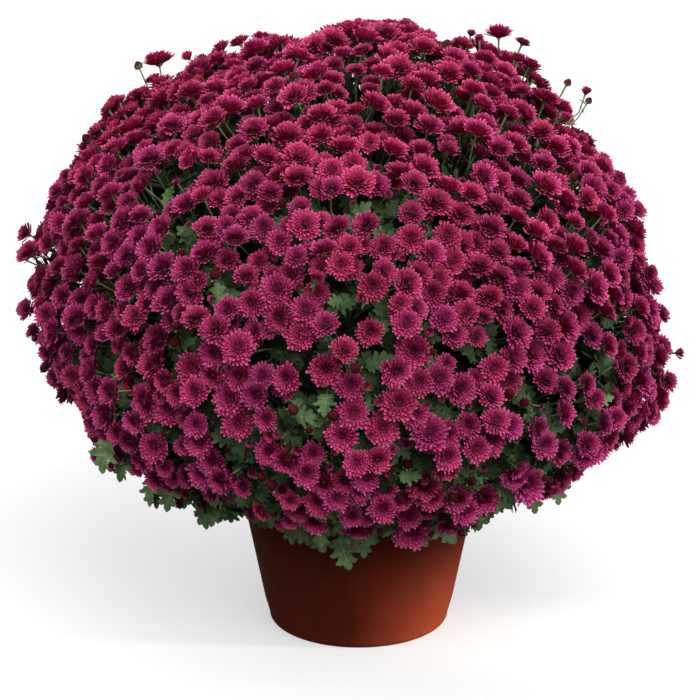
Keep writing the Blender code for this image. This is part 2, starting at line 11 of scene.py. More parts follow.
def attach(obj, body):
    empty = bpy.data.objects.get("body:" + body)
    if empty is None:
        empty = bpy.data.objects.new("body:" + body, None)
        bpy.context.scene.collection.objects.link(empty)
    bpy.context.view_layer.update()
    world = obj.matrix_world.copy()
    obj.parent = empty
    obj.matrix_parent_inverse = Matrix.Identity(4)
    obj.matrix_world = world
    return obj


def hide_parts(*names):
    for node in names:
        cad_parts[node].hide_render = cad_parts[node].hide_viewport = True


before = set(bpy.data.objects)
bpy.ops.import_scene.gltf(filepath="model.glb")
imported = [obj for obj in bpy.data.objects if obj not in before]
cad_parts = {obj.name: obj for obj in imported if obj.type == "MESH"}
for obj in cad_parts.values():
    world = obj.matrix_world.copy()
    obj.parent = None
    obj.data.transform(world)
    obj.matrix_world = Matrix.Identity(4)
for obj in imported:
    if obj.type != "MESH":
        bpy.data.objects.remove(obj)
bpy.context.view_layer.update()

UP = Vector((0.0, 0.0, 1.0))
TURN = 2 * math.pi

# The photographer's stand
CAMERA_TARGET = Vector((-0.0108, 0.0, 0.3414))
CAMERA_DISTANCE = 3.0
CAMERA_ELEVATION = math.radians(17.0)
CAMERA_LENS = 128.6
SENSOR_WIDTH = 36.0
PHOTO_SIDE = 700             # pixels across and down
MIDDLE = PHOTO_SIDE / 2
PIXEL = SENSOR_WIDTH / CAMERA_LENS / PHOTO_SIDE

# Lights, floor and sky
SOFT_LIGHTS = (     # name, strength, spread, azimuth from the photographer's side and elevation, in degrees
    ("window", 2.1, 40, 20, 42),
    ("right_screen", 0.9, 60, 60, 38),
    ("left_screen", 1.15, 60, -70, 36),
    ("low_screen", 0.6, 50, 52, 12),
    ("back_screen", 0.7, 60, 190, 36),
)
OVERHEAD_POWER = 14.0
OVERHEAD_WIDTH = 2.4
OVERHEAD_PLACE = Vector((0.2, -0.5, 2.4))
SIDE_POWER = 610.0           # a narrow warm light on the right of the pot
SIDE_COLOUR = (1.0, 0.92, 0.80)
SIDE_CONE = math.radians(8.6)
SIDE_BLEND = 0.9
SIDE_RADIUS = 0.10
SIDE_PLACE = Vector((1.20, -0.18, 0.05))
SIDE_TARGET = Vector((0.0, -0.055, -0.020))
FLOOR_WIDTH = 160
FLOOR_GREY = 0.46
FLOOR_GLOW = 0.45
SKY = ((0.0, 0.07), (0.05, 0.26), (0.9, 0.60))     # heights and the greys there

# The mound of blooms, as the solids have it
FORK = Vector((0.0, 0.0, 0.25))
MOUND_CENTRE = Vector((-0.017, 0.0, 0.380))
MOUND_RADIUS = 0.380
MOUND_RISE = 0.345
MOUND_DROP = 0.262
MOUND_SQUARENESS_ABOVE = 1.95
MOUND_SQUARENESS_BELOW = 1.9
MOUND_TILT = math.radians(7.5)
HALVINGS = 24
LUMP = 0.028
LUMP_COUNT = 2.6
LUMP_PATTERN = Vector((14.4, 7.9, 5.8))
CLUMP_DROP = 0.008
CLUMP_EDGE = 0.06
CLUMP_LIFT = 0.006
RINGS = ((90.0, 1), (64.0, 5), (38.0, 9), (10.0, 9))
RING_WANDER = 3.0
SKIRT_ELEVATION = math.radians(-12.0)
SKIRT_WANDER = math.radians(2.5)
SEED = 11
RAGGED = 0.013               # how far single blooms stand proud or lie back
RAGGED_COUNT = 6.5
STEEPEST = 0.4               # the least cosine between a direction and the mound's facing there
SPARE_TRIES = 8              # for each direction that is wanted
RAY_REACH = 0.6              # how far before and behind the plant's middle a pixel's ray is followed
RAY_STEPS = 240

# Blooms: the share of each kind, its range of radius, and the forms that it takes
BLOOM_SITES = 1700
GAP = "gap"
FULL_FORMS = ("full_a", "full_b", "full_c")
KINDS = (
    (0.68, (0.0152, 0.0190), FULL_FORMS),
    (0.13, (0.0190, 0.0222), FULL_FORMS),
    (0.12, (0.0118, 0.0152), ("young", "full_b")),
    (0.04, (0.0070, 0.0095), ("opening",)),
    (0.03, (0.0045, 0.0065), ("bud",)),
    (0.00, (0.0130, 0.0205), (GAP,)),
)
GAP_KIND = 5
MARK_LIMITS = (0.0066, 0.0096, 0.0140)     # the radii that part the kinds of marked blooms, and those kinds
MARK_KINDS = (4, 3, 2, 0)
# Heights of directions, and the share of sites at each that are gaps
GAP_HEIGHTS = (-0.20, 0.00, 0.20, 0.33, 0.45, 0.60, 0.82, 0.90)
GAP_SHARES = (0.46, 0.38, 0.30, 0.22, 0.16, 0.13, 0.09, 0.00)
THINNED_HEIGHTS = (-0.17, 0.08)     # where more sites turn into gaps, and the share of them that does
THINNED_SHARES = (0.72, 0.0)
CLOSENESS = 0.84             # how far apart sites are pushed, as a share of their radii together
SETTLING_ROUNDS = 26
PAIRING_ROUNDS = 10          # after which the sites' neighbours are found again
NEIGHBOURHOOD = 0.06
PUSH = 0.24
BLOOM_DEPTH = (-0.007, 0.010)
LONG_STALKS = 0.05           # the share of blooms that stand proud, and how far they do
STALK_STAND = (0.010, 0.022)
UNDER_TRIES = 4000           # places tried for blooms that lie under the others, in the chinks between them
UNDER_DEPTH = (0.008, 0.019)
UNDER_RADIUS = (0.0125, 0.0170)
UNDER_SPACING = 0.0185
UNDER_COVER = 0.008
UNDER_MARGIN = 0.004         # how far they stay from a gap
UNDER_HEIGHTS = (0.33, 0.50, 0.75, 0.85)     # heights of directions, and the share of the chinks there
UNDER_SHARES = (0.20, 0.50, 0.72, 1.00)      # that are filled
FAR_OFF = 99.0
BLOOM_TILT = 0.52
BLOOM_SINK = 0.30            # how far a bloom is sunk into the mound, as a share of its radius
UPWARD = 0.28                # how much blooms face up, and how much away from the fork
OUTWARD = 0.6
GAP_BUDS = 0.6               # the share of gaps with a bud or an opening bloom
GAP_FORMS = ("bud", "bud", "opening", "opening", "opening")
BUD_RADIUS = (0.0036, 0.0072)
BUD_SPREAD = (0.2, 0.8)
BUD_SINK = (0.004, 0.014)
OUTLINE_CLEARANCE = 0.28     # how much of its radius a bloom at the outline stays inside it
LOW_CLEARANCE = 0.012        # how far inside it the blooms at the skirt stay, so that leaves hang below them
LOW_HEIGHTS = (-0.1, 0.1)
GREATEST_SHIFT = 0.035
# The pixel row below which, and the distance from the middle column beyond which, the marked blooms face the
# photographer more, and how much more
FRONTAL_BELOW = 390
FRONTAL_BEYOND = 260
FRONTAL_TURN_BELOW = 1.0
FRONTAL_TURN_BEYOND = 0.7
BLOOM_SHADES = (0.78, 1.16)
SHADE_HEIGHTS = (0.0, 0.3, 0.6, 0.8)       # heights of directions, and how much lighter blooms are painted at each: painted light, lighter low down and at the top
SHADE_SHARES = (1.21, 1.0, 1.02, 1.10)
PURPLE = 0.46                # how purple blooms are, how much less at the top and how much more at the sides
PURPLE_DROP = 0.32
PURPLE_SIDES = 0.22
PURPLE_WANDER = 0.25
PURPLE_PATCH = 0.5
PURPLE_PATCH_COUNT = 4

# Blooms and buds that the photograph shows singly: its pixels across and down, and the radius in millimetres
SEEN_BLOOMS = (
    (158, 59, 21), (154, 79, 12), (144, 92, 9), (139, 67, 5.5), (188, 57, 9.4), (204, 61, 13),
    (199, 74, 9.5), (221, 47, 13), (239, 41, 14), (262, 37, 15), (281, 40, 10), (499, 32, 18),
    (523, 42, 11), (471, 34, 7.5), (446, 45, 5), (518, 58, 12), (492, 51, 15), (462, 44, 13),
    (535, 79, 13), (567, 84, 5), (588, 102, 4.5), (586, 92, 9), (426, 40, 12), (586, 140, 16),
    (107, 109, 12), (123, 114, 11), (119, 101, 7), (99, 129, 8.5), (87, 139, 5.5), (117, 132, 7),
    (116, 154, 6), (101, 151, 5), (87, 179, 17), (66, 175, 10), (57, 192, 13), (64, 204, 9), (61, 224, 14),
    (26, 233, 13), (74, 232, 16), (110, 193, 17), (98, 234, 16), (28, 252, 18), (48, 244, 13),
    (34, 283, 12), (26, 309, 14), (46, 315, 15), (33, 331, 12), (63, 297, 15), (58, 266, 13),
    (93, 280, 18), (47, 352, 13), (46, 368, 6), (56, 378, 14), (72, 377, 15), (80, 332, 15), (93, 344, 13),
    (106, 310, 15), (124, 311, 14), (68, 353, 12), (604, 161, 15), (619, 179, 12), (627, 195, 12),
    (636, 211, 14), (624, 211, 13), (611, 191, 13), (628, 225, 4.5), (635, 244, 15), (620, 259, 14),
    (650, 274, 13), (652, 286, 14), (661, 313, 15), (634, 331, 16.5), (663, 346, 16), (643, 355, 15),
    (678, 353, 8.5), (668, 381, 14.5), (648, 390, 12), (652, 415, 14), (635, 418, 11), (616, 418, 14.5),
    (593, 399, 13), (582, 457, 15), (410, 532, 23.5), (382, 509, 17.5), (430, 498, 17), (465, 511, 18),
    (351, 517, 14), (337, 497, 17), (355, 539, 9.4), (442, 516, 5.5), (471, 481, 6), (290, 501, 12),
    (290, 521, 10), (365, 478, 17), (359, 492, 9.4), (527, 484, 23), (544, 445, 16.5), (477, 449, 17),
    (515, 437, 5.5), (156, 447, 18), (166, 468, 12), (204, 474, 19.5), (196, 425, 15), (184, 446, 11.5),
    (135, 422, 15), (117, 433, 14), (95, 425, 14), (99, 456, 12.5), (113, 466, 8.5), (139, 469, 10),
    (162, 397, 8.5), (87, 401, 13), (186, 493, 7.5), (180, 503, 7.5), (202, 502, 6.2),
)
# Gaps between the blooms, in the same form
SEEN_GAPS = (
    (346, 292, 20), (403, 263, 15), (300, 282, 15), (321, 348, 19), (282, 352, 16), (365, 363, 17),
    (399, 347, 16), (383, 310, 15), (300, 397, 17), (288, 416, 20), (322, 416, 20), (431, 403, 18),
    (377, 403, 15), (431, 355, 16), (320, 440, 18), (225, 452, 18), (250, 440, 16), (172, 428, 14),
    (500, 470, 18), (400, 480, 16), (330, 530, 16), (310, 510, 14), (445, 480, 16), (600, 375, 18),
    (580, 430, 18), (228, 500, 18), (150, 490, 16), (160, 426, 15), (221, 440, 16), (228, 462, 18),
    (241, 450, 14), (128, 459, 14), (184, 482, 12), (215, 503, 16), (205, 520, 14), (246, 478, 17),
    (284, 432, 14), (276, 510, 14), (303, 489, 14), (261, 490, 14), (441, 405, 14), (476, 408, 14),
    (509, 450, 16), (506, 464, 14), (436, 468, 16), (460, 469, 14), (452, 490, 15), (486, 495, 16),
    (497, 486, 14), (488, 512, 14), (522, 434, 12), (556, 428, 15), (568, 440, 15), (557, 470, 15),
    (562, 482, 13), (595, 424, 15), (602, 442, 15), (612, 400, 15), (530, 420, 14), (544, 408, 14),
    (444, 524, 14), (395, 455, 13), (618, 440, 14), (385, 480, 13), (480, 435, 13),
)
# Tips of the leaves that hang round the skirt and over the pot's rim
SEEN_LEAF_TIPS = (
    (93, 462), (101, 474), (109, 480), (124, 485), (139, 497), (156, 509), (172, 512), (180, 506),
    (210, 527), (224, 526), (240, 516), (232, 509), (142, 490), (116, 474), (160, 500), (198, 522),
    (349, 571), (323, 554), (306, 545), (364, 558), (456, 541), (483, 531), (497, 514), (538, 513),
    (559, 505), (567, 489), (587, 479), (610, 457), (627, 456), (641, 440), (662, 408), (149, 507),
    (164, 511), (130, 487), (118, 482), (204, 530), (190, 519), (217, 523), (235, 516), (250, 522),
    (428, 548), (512, 508), (270, 528),
)
# The corners of the mound's outline in the photograph's pixels, down to the pot's rim
OUTLINE = (
    (253, 548), (241, 515), (201, 530), (174, 506), (147, 503), (135, 484), (93, 467), (78, 396),
    (53, 388), (41, 349), (15, 318), (28, 290), (12, 255), (15, 238), (57, 221), (48, 202), (57, 178),
    (72, 168), (84, 137), (98, 107), (137, 64), (167, 48), (201, 57), (239, 32), (262, 29), (303, 45),
    (343, 20), (395, 15), (417, 20), (441, 44), (457, 42), (481, 25), (507, 28), (528, 40), (550, 89),
    (569, 81), (592, 93), (584, 120), (642, 213), (642, 262), (660, 284), (671, 317), (682, 353),
    (678, 397), (659, 409), (643, 440), (600, 453), (584, 479), (553, 503), (503, 510), (483, 530),
    (467, 547),
)

MARKED = len(SEEN_BLOOMS) + len(SEEN_GAPS)

# Leaves
GAP_LEAVES = 6
GAP_LEAF_LENGTH = (0.020, 0.034)
GAP_LEAF_SINK = (0.012, 0.046)
GAP_LEAF_SPREAD = 0.014
GAP_LEAF_LEAN = (-0.2, 1.1)   # how much a leaf grows outwards, and how much its face is turned aside
GAP_LEAF_TURN = 0.9
LEAF_UPWARD = 0.2
GAP_LEAF_SHADES = ((1.0, 1.5), (0.3, 0.8))     # of the first leaves in a gap, and of the others, darker as painted shade in the gap
LOW_GAP = 0.12               # the height of direction below which a gap has two more light leaves, painted light low down
# Painted light: gap leaves low down are painted lighter, where the mound shades them
GAP_SHADE_HEIGHTS = (-0.20, 0.25)
GAP_SHADE_SHARES = (2.50, 1.08)
BRACT_SHARE = 0.6
BRACT_LENGTH = (0.009, 0.018)
BRACT_SINK = (0.002, 0.014)
BRACT_LEAN = (0.2, 0.8)
BRACT_SHADES = (0.9, 1.3)
LEAF_LAYERS = (              # how many, their least and greatest depth, shades and lengths; the deeper layers' low shades are painted shade
    (950, 0.022, 0.050, (0.35, 1.00), (0.026, 0.042)),
    (700, 0.058, 0.095, (0.12, 0.28), (0.060, 0.085)),
    (560, 0.110, 0.170, (0.10, 0.20), (0.065, 0.090)),
)
LAYER_LEAN = (-0.3, 0.6)
LAYER_TURN = 0.7
# Painted light: layer leaves low down are painted lighter, where the mound shades them
LAYER_SHADE_HEIGHTS = (-0.20, 0.20)
LAYER_SHADE_SHARES = (1.4, 1.0)
TOP_SINK = 0.020             # how much deeper the leaves lie at the top, in gaps and in layers
TOP_LAYER_SINK = 0.016
FRINGE_LEAVES = 230
FRINGE_LENGTH = (0.028, 0.044)
FRINGE_SINK = (0.010, 0.034)
FRINGE_REACH = (0.55, 0.95)  # of every second leaf, as a share of the mound's
# Fringe leaves are painted lighter than the others: painted light under the mound's shade
FRINGE_SHADES = (1.4, 2.6)
FRINGE_OUTWARD = (0.0, 1.2)
FRINGE_ASIDE = 0.6
FRINGE_SHIFT = (-0.012, 0.014)
FRINGE_TURN = 0.8
FRINGE_UPWARD = (0.0, 0.5)
HANGING_LEAF_LENGTH = (0.032, 0.046)
# Hanging leaves are painted lighter too: painted light under the mound's shade
HANGING_SHADES = (1.7, 2.5)
HANGING_OUTWARD = (0.1, 0.5)
HANGING_ASIDE = 0.4
HANGING_TURN = (0.4, 1.4)    # how much they face the photographer
HANGING_SLACK = 30           # how many pixels a hanging leaf's tip may lie outside the outline
LEAF_BACK = 0.4              # how far a leaf's middle lies from its foot, as a share of its length
LEAF_PROBES = ((1.0, 0.0), (0.75, 0.0), (0.45, -0.36), (0.45, 0.36), (0.4, 0.0))     # along and across a leaf
BLOOM_BODY = (0.97, -0.34, 0.9)     # how wide, how low and how high a bloom keeps leaves away
SINKINGS = 3                 # how often a leaf that pokes through is moved inwards, and how far
SINK_STEP = 0.008

# Stems
STEM_RADII = (0.0036, 0.0034, 0.0032)
BRANCH_RADII = (0.0026, 0.0024, 0.0021)
STALK_RADII = (0.0014, 0.0011, 0.0010, 0.0013)
CROWN_REACH = 0.0183         # from the fork to where a spray's stem leaves the crown
STEM_HEART = 0.45            # where it parts, and where it bends, as shares of the spray's length
STEM_BOW = 0.25
BOW_ASIDE = 0.01
BRANCH_REACH = 0.55
BRANCH_LIFT = 0.006
STALK_LIFT = 0.004
STALK_RISE = 0.55            # where on its way to the bloom a stalk is lifted
STALK_END = 0.95             # of the calyx's depth, where a stalk ends inside it
STALK_BEND = (0.014, 0.026)
BRANCH_BLOOMS = 7

# Pot and soil, in the solids' sizes
POT_HEIGHT = 0.205
POT_BASE_RADIUS = 0.110
POT_FLARE = 0.198
POT_WALL = 0.003
POT_FLOOR = 0.004
POT_FOOT_ROUND = 0.007
POT_SIDES = 96
POT_STATIONS = (0.03, 0.08, 0.13, 0.17)
RIM_DEPTH = 0.024
RIM_PROUD = 0.0025
RIM_ROUND = 0.002
RIM_STEP = 0.0004
RIM_CHAMFER = 0.0008
SMOOTH_BELOW = math.radians(40)
SOIL_TOP = 0.182
SOIL_RISE = 0.004
SOIL_INSET = 0.0033
SOIL_SIDES = 72
SOIL_RINGS = 14
SOIL_CHAMFER = 0.004
SOIL_EDGE = 0.001
CRUMB = 0.004
CRUMB_COUNT = 90
FINE_CRUMB_COUNT = 230
TOUCH_GAP = 0.0003
TRUNK_RADIUS = 0.0105
TRUNK_GAP = 0.0005


# Small helpers

def deselect():
    bpy.ops.object.select_all(action="DESELECT")


def activate(*pieces):
    deselect()
    for piece in pieces:
        piece.select_set(True)
    bpy.context.view_layer.objects.active = pieces[0]


def new_object(name, data):
    piece = bpy.data.objects.new(name, data)
    bpy.context.scene.collection.objects.link(piece)
    return piece


def pick(test):
    """Selects the vertices that pass the test, in the mesh being edited."""
    mesh = bmesh.from_edit_mesh(bpy.context.edit_object.data)
    for v in mesh.verts:
        v.select = bool(test(v.co))
    mesh.select_flush(True)
    mesh.select_flush(False)
    bmesh.update_edit_mesh(bpy.context.edit_object.data)


def tag(mesh, name, value):
    """Gives every vertex of a mesh one value of a named attribute."""
    values = mesh.attributes.new(name, "FLOAT", "POINT")
    values.data.foreach_set("value", np.full(len(mesh.vertices), value, np.float32))


def joined(name, pieces):
    activate(*pieces)
    bpy.ops.object.join()
    piece = bpy.context.object
    piece.name = name
    piece.data.name = name
    deselect()
    return piece


def set_out(form, place, across, facing, size, **tags):
    """A copy of a form, with its own mesh, turned to face outwards at a place."""
    along = facing.cross(across)
    turn = Matrix((across, along, facing)).transposed() * size
    mesh = form.data.copy()
    mesh.transform(Matrix.Translation(place) @ turn.to_4x4())
    for name, value in tags.items():
        tag(mesh, name, value)
    return new_object(form.name, mesh)


def level_pair(facing, angle):
    """A direction at right angles to facing, turned round it by an angle."""
    side = UP if abs(facing.z) < 0.9 else Vector((0.0, 1.0, 0.0))
    across = side.cross(facing).normalized()
    along = facing.cross(across)
    return across * math.cos(angle) + along * math.sin(angle)


def any_side(facing, rng):
    return level_pair(facing, rng.uniform(0, TURN))


# Materials

def add_node(tree, kind, inputs=None, **settings):
    made = tree.nodes.new(kind)
    for key, value in settings.items():
        setattr(made, key, value)
    for key, value in (inputs or {}).items():
        if isinstance(value, bpy.types.NodeSocket):
            tree.links.new(value, made.inputs[key])
        else:
            made.inputs[key].default_value = value
    return made


def maths(tree, operation, *values):
    return add_node(tree, "ShaderNodeMath", dict(enumerate(values)), operation=operation).outputs[0]


def ramp(tree, factor, *stops):
    """A colour ramp with (position, colour) stops; a colour that is one number is a grey."""
    made = add_node(tree, "ShaderNodeValToRGB", {"Fac": factor})
    elements = made.color_ramp.elements
    while len(elements) < len(stops):
        elements.new(0.5)
    for element, (position, colour) in zip(elements, stops):
        element.position = position
        element.color = (*colour, 1.0) if isinstance(colour, tuple) else (colour, colour, colour, 1.0)
    return made.outputs["Color"]


def mixed(tree, factor, first, second, blend="MIX"):
    made = add_node(tree, "ShaderNodeMix", data_type="RGBA", blend_type=blend)
    for socket, value in ((made.inputs[0], factor), (made.inputs[6], first), (made.inputs[7], second)):
        if isinstance(value, bpy.types.NodeSocket):
            tree.links.new(value, socket)
        elif isinstance(value, tuple):
            socket.default_value = (*value, 1.0)
        else:
            socket.default_value = value
    return made.outputs[2]


def attribute(tree, name):
    return add_node(tree, "ShaderNodeAttribute", attribute_name=name).outputs["Fac"]


def fleck(tree, scale, detail=2.0, drawn=1.0):
    """Noise in the piece's own place, drawn out along Z where drawn is small."""
    where = add_node(tree, "ShaderNodeTexCoord").outputs["Object"]
    if drawn < 1.0:
        mapping = {"Vector": where, "Scale": (1.0, 1.0, drawn)}
        where = add_node(tree, "ShaderNodeMapping", mapping).outputs["Vector"]
    grain = {"Vector": where, "Scale": scale, "Detail": detail}
    return add_node(tree, "ShaderNodeTexNoise", grain).outputs["Fac"]


def leaf_or_petal_grain(tree):
    """(across, along, distance from the middle line) on a petal or leaf, from its own UV map."""
    where = add_node(tree, "ShaderNodeUVMap", uv_map="UVMap").outputs["UV"]
    parts = add_node(tree, "ShaderNodeSeparateXYZ", {"Vector": where})
    across, along = parts.outputs["X"], parts.outputs["Y"]
    beside = maths(tree, "ABSOLUTE", maths(tree, "SUBTRACT", across, 0.5))
    return across, along, maths(tree, "MULTIPLY", beside, 2.0)


def new_finish(name, roughness):
    material = bpy.data.materials.new(name)
    material.use_nodes = True
    material.node_tree.nodes["Principled BSDF"].inputs["Roughness"].default_value = roughness
    return material, material.node_tree


def coated(material, colour, height, depth, specular=0.5, strength=1.0):
    """The finish with its colour, and with relief as deep as given, in metres, where the height is 1."""
    tree = material.node_tree
    inputs = tree.nodes["Principled BSDF"].inputs
    tree.links.new(colour, inputs["Base Color"])
    inputs["Specular IOR Level"].default_value = specular
    relief = {"Height": maths(tree, "MULTIPLY", height, depth), "Strength": strength, "Distance": 1.0}
    tree.links.new(add_node(tree, "ShaderNodeBump", relief).outputs["Normal"], inputs["Normal"])
    return material


def petal_finish():
    material, tree = new_finish("petals", 0.62)
    _, along, beside = leaf_or_petal_grain(tree)
    whorl = attribute(tree, "whorl")
    # Colour along a petal: pinker at the tip, and near black at the foot, which is painted shade where the
    # foot lies under the whorl above
    crimson = ramp(tree, along, (0.05, (0.06, 0.001, 0.008)), (0.36, (0.20, 0.002, 0.030)),
                   (0.66, (0.49, 0.014, 0.094)), (0.90, (0.60, 0.062, 0.165)), (1.0, (0.68, 0.17, 0.30)))
    magenta = ramp(tree, along, (0.05, (0.05, 0.001, 0.018)), (0.36, (0.18, 0.002, 0.064)),
                   (0.66, (0.45, 0.014, 0.178)), (0.90, (0.56, 0.070, 0.275)), (1.0, (0.64, 0.19, 0.41)))
    colour = mixed(tree, attribute(tree, "purple"), crimson, magenta)
    edge = maths(tree, "POWER", beside, 2.0)
    # Darker along each petal's middle line: painted shade in its crease
    painted_crease_shade = ramp(tree, beside, (0.0, (0.52, 0.48, 0.52)), (0.30, 1.0))
    colour = mixed(tree, 1.0, colour, painted_crease_shade, "MULTIPLY")
    # Paler towards each petal's margins: partly their paler colour, partly a painted highlight on the raised
    # edges
    colour = mixed(tree, maths(tree, "MULTIPLY", edge, 0.21), colour, (0.66, 0.16, 0.30))
    inner = ramp(tree, whorl, (0.30, 0.0), (0.95, 0.95))
    colour = mixed(tree, inner, colour, (0.105, 0.002, 0.018))
    button = maths(tree, "GREATER_THAN", whorl, 0.9)
    colour = mixed(tree, button, colour, (0.060, 0.001, 0.011))
    speck = ramp(tree, fleck(tree, 420.0, 4.0), (0.30, 0.70), (0.70, 1.24))
    colour = mixed(tree, 1.0, colour, speck, "MULTIPLY")
    return coated(material, shaded(tree, colour), edge, 0.001, 0.12, 0.6)


def shaded(tree, colour):
    """The colour, lighter or darker by the piece's shade attribute: its own tone, and the painted light and
    shade set by where it lies.
    """
    inputs = {"Value": attribute(tree, "shade"), "Color": colour}
    return add_node(tree, "ShaderNodeHueSaturation", inputs).outputs["Color"]


def bud_finish():
    material, tree = new_finish("bud_petals", 0.50)
    across, _, _ = leaf_or_petal_grain(tree)
    furrow = maths(tree, "SINE", maths(tree, "MULTIPLY", across, TURN * 14))
    # Darker in the furrows between the furled petals: painted shade in the furrows
    depth = maths(tree, "MULTIPLY_ADD", furrow, 0.5, 0.5)
    colour = ramp(tree, depth, (0.0, (0.020, 0.001, 0.004)), (1.0, (0.150, 0.003, 0.024)))
    return coated(material, colour, furrow, 0.0004, 0.15)


def leaf_finish():
    material, tree = new_finish("leaf", 0.68)
    _, along, beside = leaf_or_petal_grain(tree)
    patch = fleck(tree, 60.0, 4.0)
    colour = ramp(tree, patch, (0.30, (0.028, 0.056, 0.019)), (0.70, (0.088, 0.142, 0.058)))
    slant = maths(tree, "SUBTRACT", along, maths(tree, "MULTIPLY", beside, 0.22))
    wave = maths(tree, "SINE", maths(tree, "MULTIPLY", slant, 42.0))
    side_vein = maths(tree, "MULTIPLY", maths(tree, "GREATER_THAN", wave, 0.90), 0.35)
    vein = maths(tree, "MAXIMUM", maths(tree, "LESS_THAN", beside, 0.07), side_vein)
    colour = mixed(tree, maths(tree, "MULTIPLY", vein, 0.50), colour, (0.13, 0.19, 0.09))
    height = maths(tree, "MULTIPLY_ADD", vein, -0.375, patch)
    return coated(material, shaded(tree, colour), height, 0.0008, 0.14, 0.7)


def stem_finish():
    material, tree = new_finish("green_stem", 0.50)
    colour = ramp(tree, fleck(tree, 90.0, 3.0), (0.30, (0.10, 0.16, 0.05)), (0.75, (0.26, 0.32, 0.13)))
    return coated(material, colour, fleck(tree, 700.0), 0.0004)


def bark_finish():
    material, tree = new_finish("bark", 0.85)
    grain = fleck(tree, 420.0, 5.0, drawn=0.15)
    colour = ramp(tree, grain, (0.32, (0.045, 0.030, 0.014)), (0.68, (0.21, 0.16, 0.085)))
    return coated(material, colour, grain, 0.0012)


def soil_finish():
    material, tree = new_finish("potting_soil", 0.95)
    crumb = fleck(tree, 380.0, 6.0)
    colour = ramp(tree, crumb, (0.30, (0.010, 0.006, 0.004)), (0.60, (0.050, 0.031, 0.019)),
                  (0.80, (0.11, 0.075, 0.045)))
    return coated(material, colour, crumb, 0.004)


def pot_finish():
    material, tree = new_finish("pot_plastic", 0.46)
    cloud = fleck(tree, 9.0, 3.0)
    colour = ramp(tree, cloud, (0.30, (0.068, 0.0094, 0.0034)), (0.70, (0.084, 0.0125, 0.0046)))
    streak = ramp(tree, fleck(tree, 160.0, 3.0, drawn=0.05), (0.45, 0.0), (0.85, 0.20))
    colour = mixed(tree, streak, colour, (0.135, 0.027, 0.011))
    gloss = ramp(tree, fleck(tree, 45.0, 4.0), (0.30, 0.38), (0.75, 0.55))
    tree.links.new(gloss, tree.nodes["Principled BSDF"].inputs["Roughness"])
    return coated(material, colour, fleck(tree, 1500.0, 1.0), 0.00006, 0.07)


# The mound and its sprays

def tilted(vectors, way):
    """Vectors turned into the tilted mound's own axes, or back out of them where way is -1."""
    turn_cos, turn_sin = math.cos(MOUND_TILT), way * math.sin(MOUND_TILT)
    x = vectors[:, 0] * turn_cos - vectors[:, 2] * turn_sin
    z = vectors[:, 0] * turn_sin + vectors[:, 2] * turn_cos
    return np.stack([x, vectors[:, 1], z], axis=1)


def mound_half(heights):
    above = heights >= 0
    half_height = np.where(above, MOUND_RISE, MOUND_DROP)
    return half_height, np.where(above, MOUND_SQUARENESS_ABOVE, MOUND_SQUARENESS_BELOW)


def mound_reach(directions):
    """Distances from the fork to the smooth mound along directions, by halving."""
    start = tilted(np.array([FORK - MOUND_CENTRE]), 1)
    step = tilted(directions, 1)
    near, far = np.zeros(len(directions)), np.ones(len(directions))
    for _ in range(HALVINGS):
        t = (near + far) / 2
        at = start + step * t[:, None]
        half_height, power = mound_half(at[:, 2])
        share = (np.hypot(at[:, 0], at[:, 1]) / MOUND_RADIUS) ** power
        inside = share + (np.abs(at[:, 2]) / half_height) ** power < 1
        near, far = np.where(inside, t, near), np.where(inside, far, t)
    return near


def mound_normals(directions):
    at = np.array(FORK - MOUND_CENTRE) + directions * mound_reach(directions)[:, None]
    at = tilted(at, 1)
    half_height, power = mound_half(at[:, 2])
    across = np.hypot(at[:, 0], at[:, 1]) ** (power - 2) / MOUND_RADIUS ** power
    upward = np.sign(at[:, 2]) * np.abs(at[:, 2]) ** (power - 1) / half_height ** power
    normals = tilted(np.stack([at[:, 0] * across, at[:, 1] * across, upward], axis=1), -1)
    return normals / np.linalg.norm(normals, axis=1, keepdims=True)


def spray_axes():
    """The axis of each spray and how far it stands proud, drawn as the solids' are."""
    rng = random.Random(SEED)
    axes, lifts = [], []
    for elevation, count in RINGS:
        start = rng.uniform(0, TURN)
        for i in range(count):
            wander = RING_WANDER if count > 1 else 0.0
            azimuth = start + TURN * i / count + math.radians(rng.uniform(-wander, wander))
            rise = math.radians(elevation + rng.uniform(-wander, wander))
            level = math.cos(rise)
            axes.append((level * math.cos(azimuth), level * math.sin(azimuth), math.sin(rise)))
            lifts.append(rng.uniform(-CLUMP_LIFT, CLUMP_LIFT))
    return np.array(axes), np.array(lifts)


AXES, LIFTS = spray_axes()


def spray_of(directions):
    return np.argmax(directions @ AXES.T, axis=1)


def reach(directions):
    """Distances from the fork to the lumpy mound that the blooms' faces follow."""
    nearness = directions @ AXES.T
    spray = np.argmax(nearness, axis=1)
    edge = np.minimum(1.0, (1 - nearness.max(axis=1)) / CLUMP_EDGE)
    lumps = np.array([noise.noise(Vector(d) * LUMP_COUNT + LUMP_PATTERN) for d in directions])
    ragged = np.array([noise.noise(Vector(d) * RAGGED_COUNT) for d in directions])
    return mound_reach(directions) + LUMP * lumps + RAGGED * ragged + LIFTS[spray] - CLUMP_DROP * edge


def on_mound(directions, depths=0.0):
    return np.array(FORK) + directions * (reach(directions) - depths)[:, None]


def lowered(directions, lowest):
    """The directions, none of them below its lowest elevation."""
    flat = np.hypot(directions[:, 0], directions[:, 1])
    height = np.maximum(directions[:, 2], np.tan(lowest) * flat)
    raised = np.stack([directions[:, 0], directions[:, 1], height], axis=1)
    return raised / np.linalg.norm(raised, axis=1, keepdims=True)


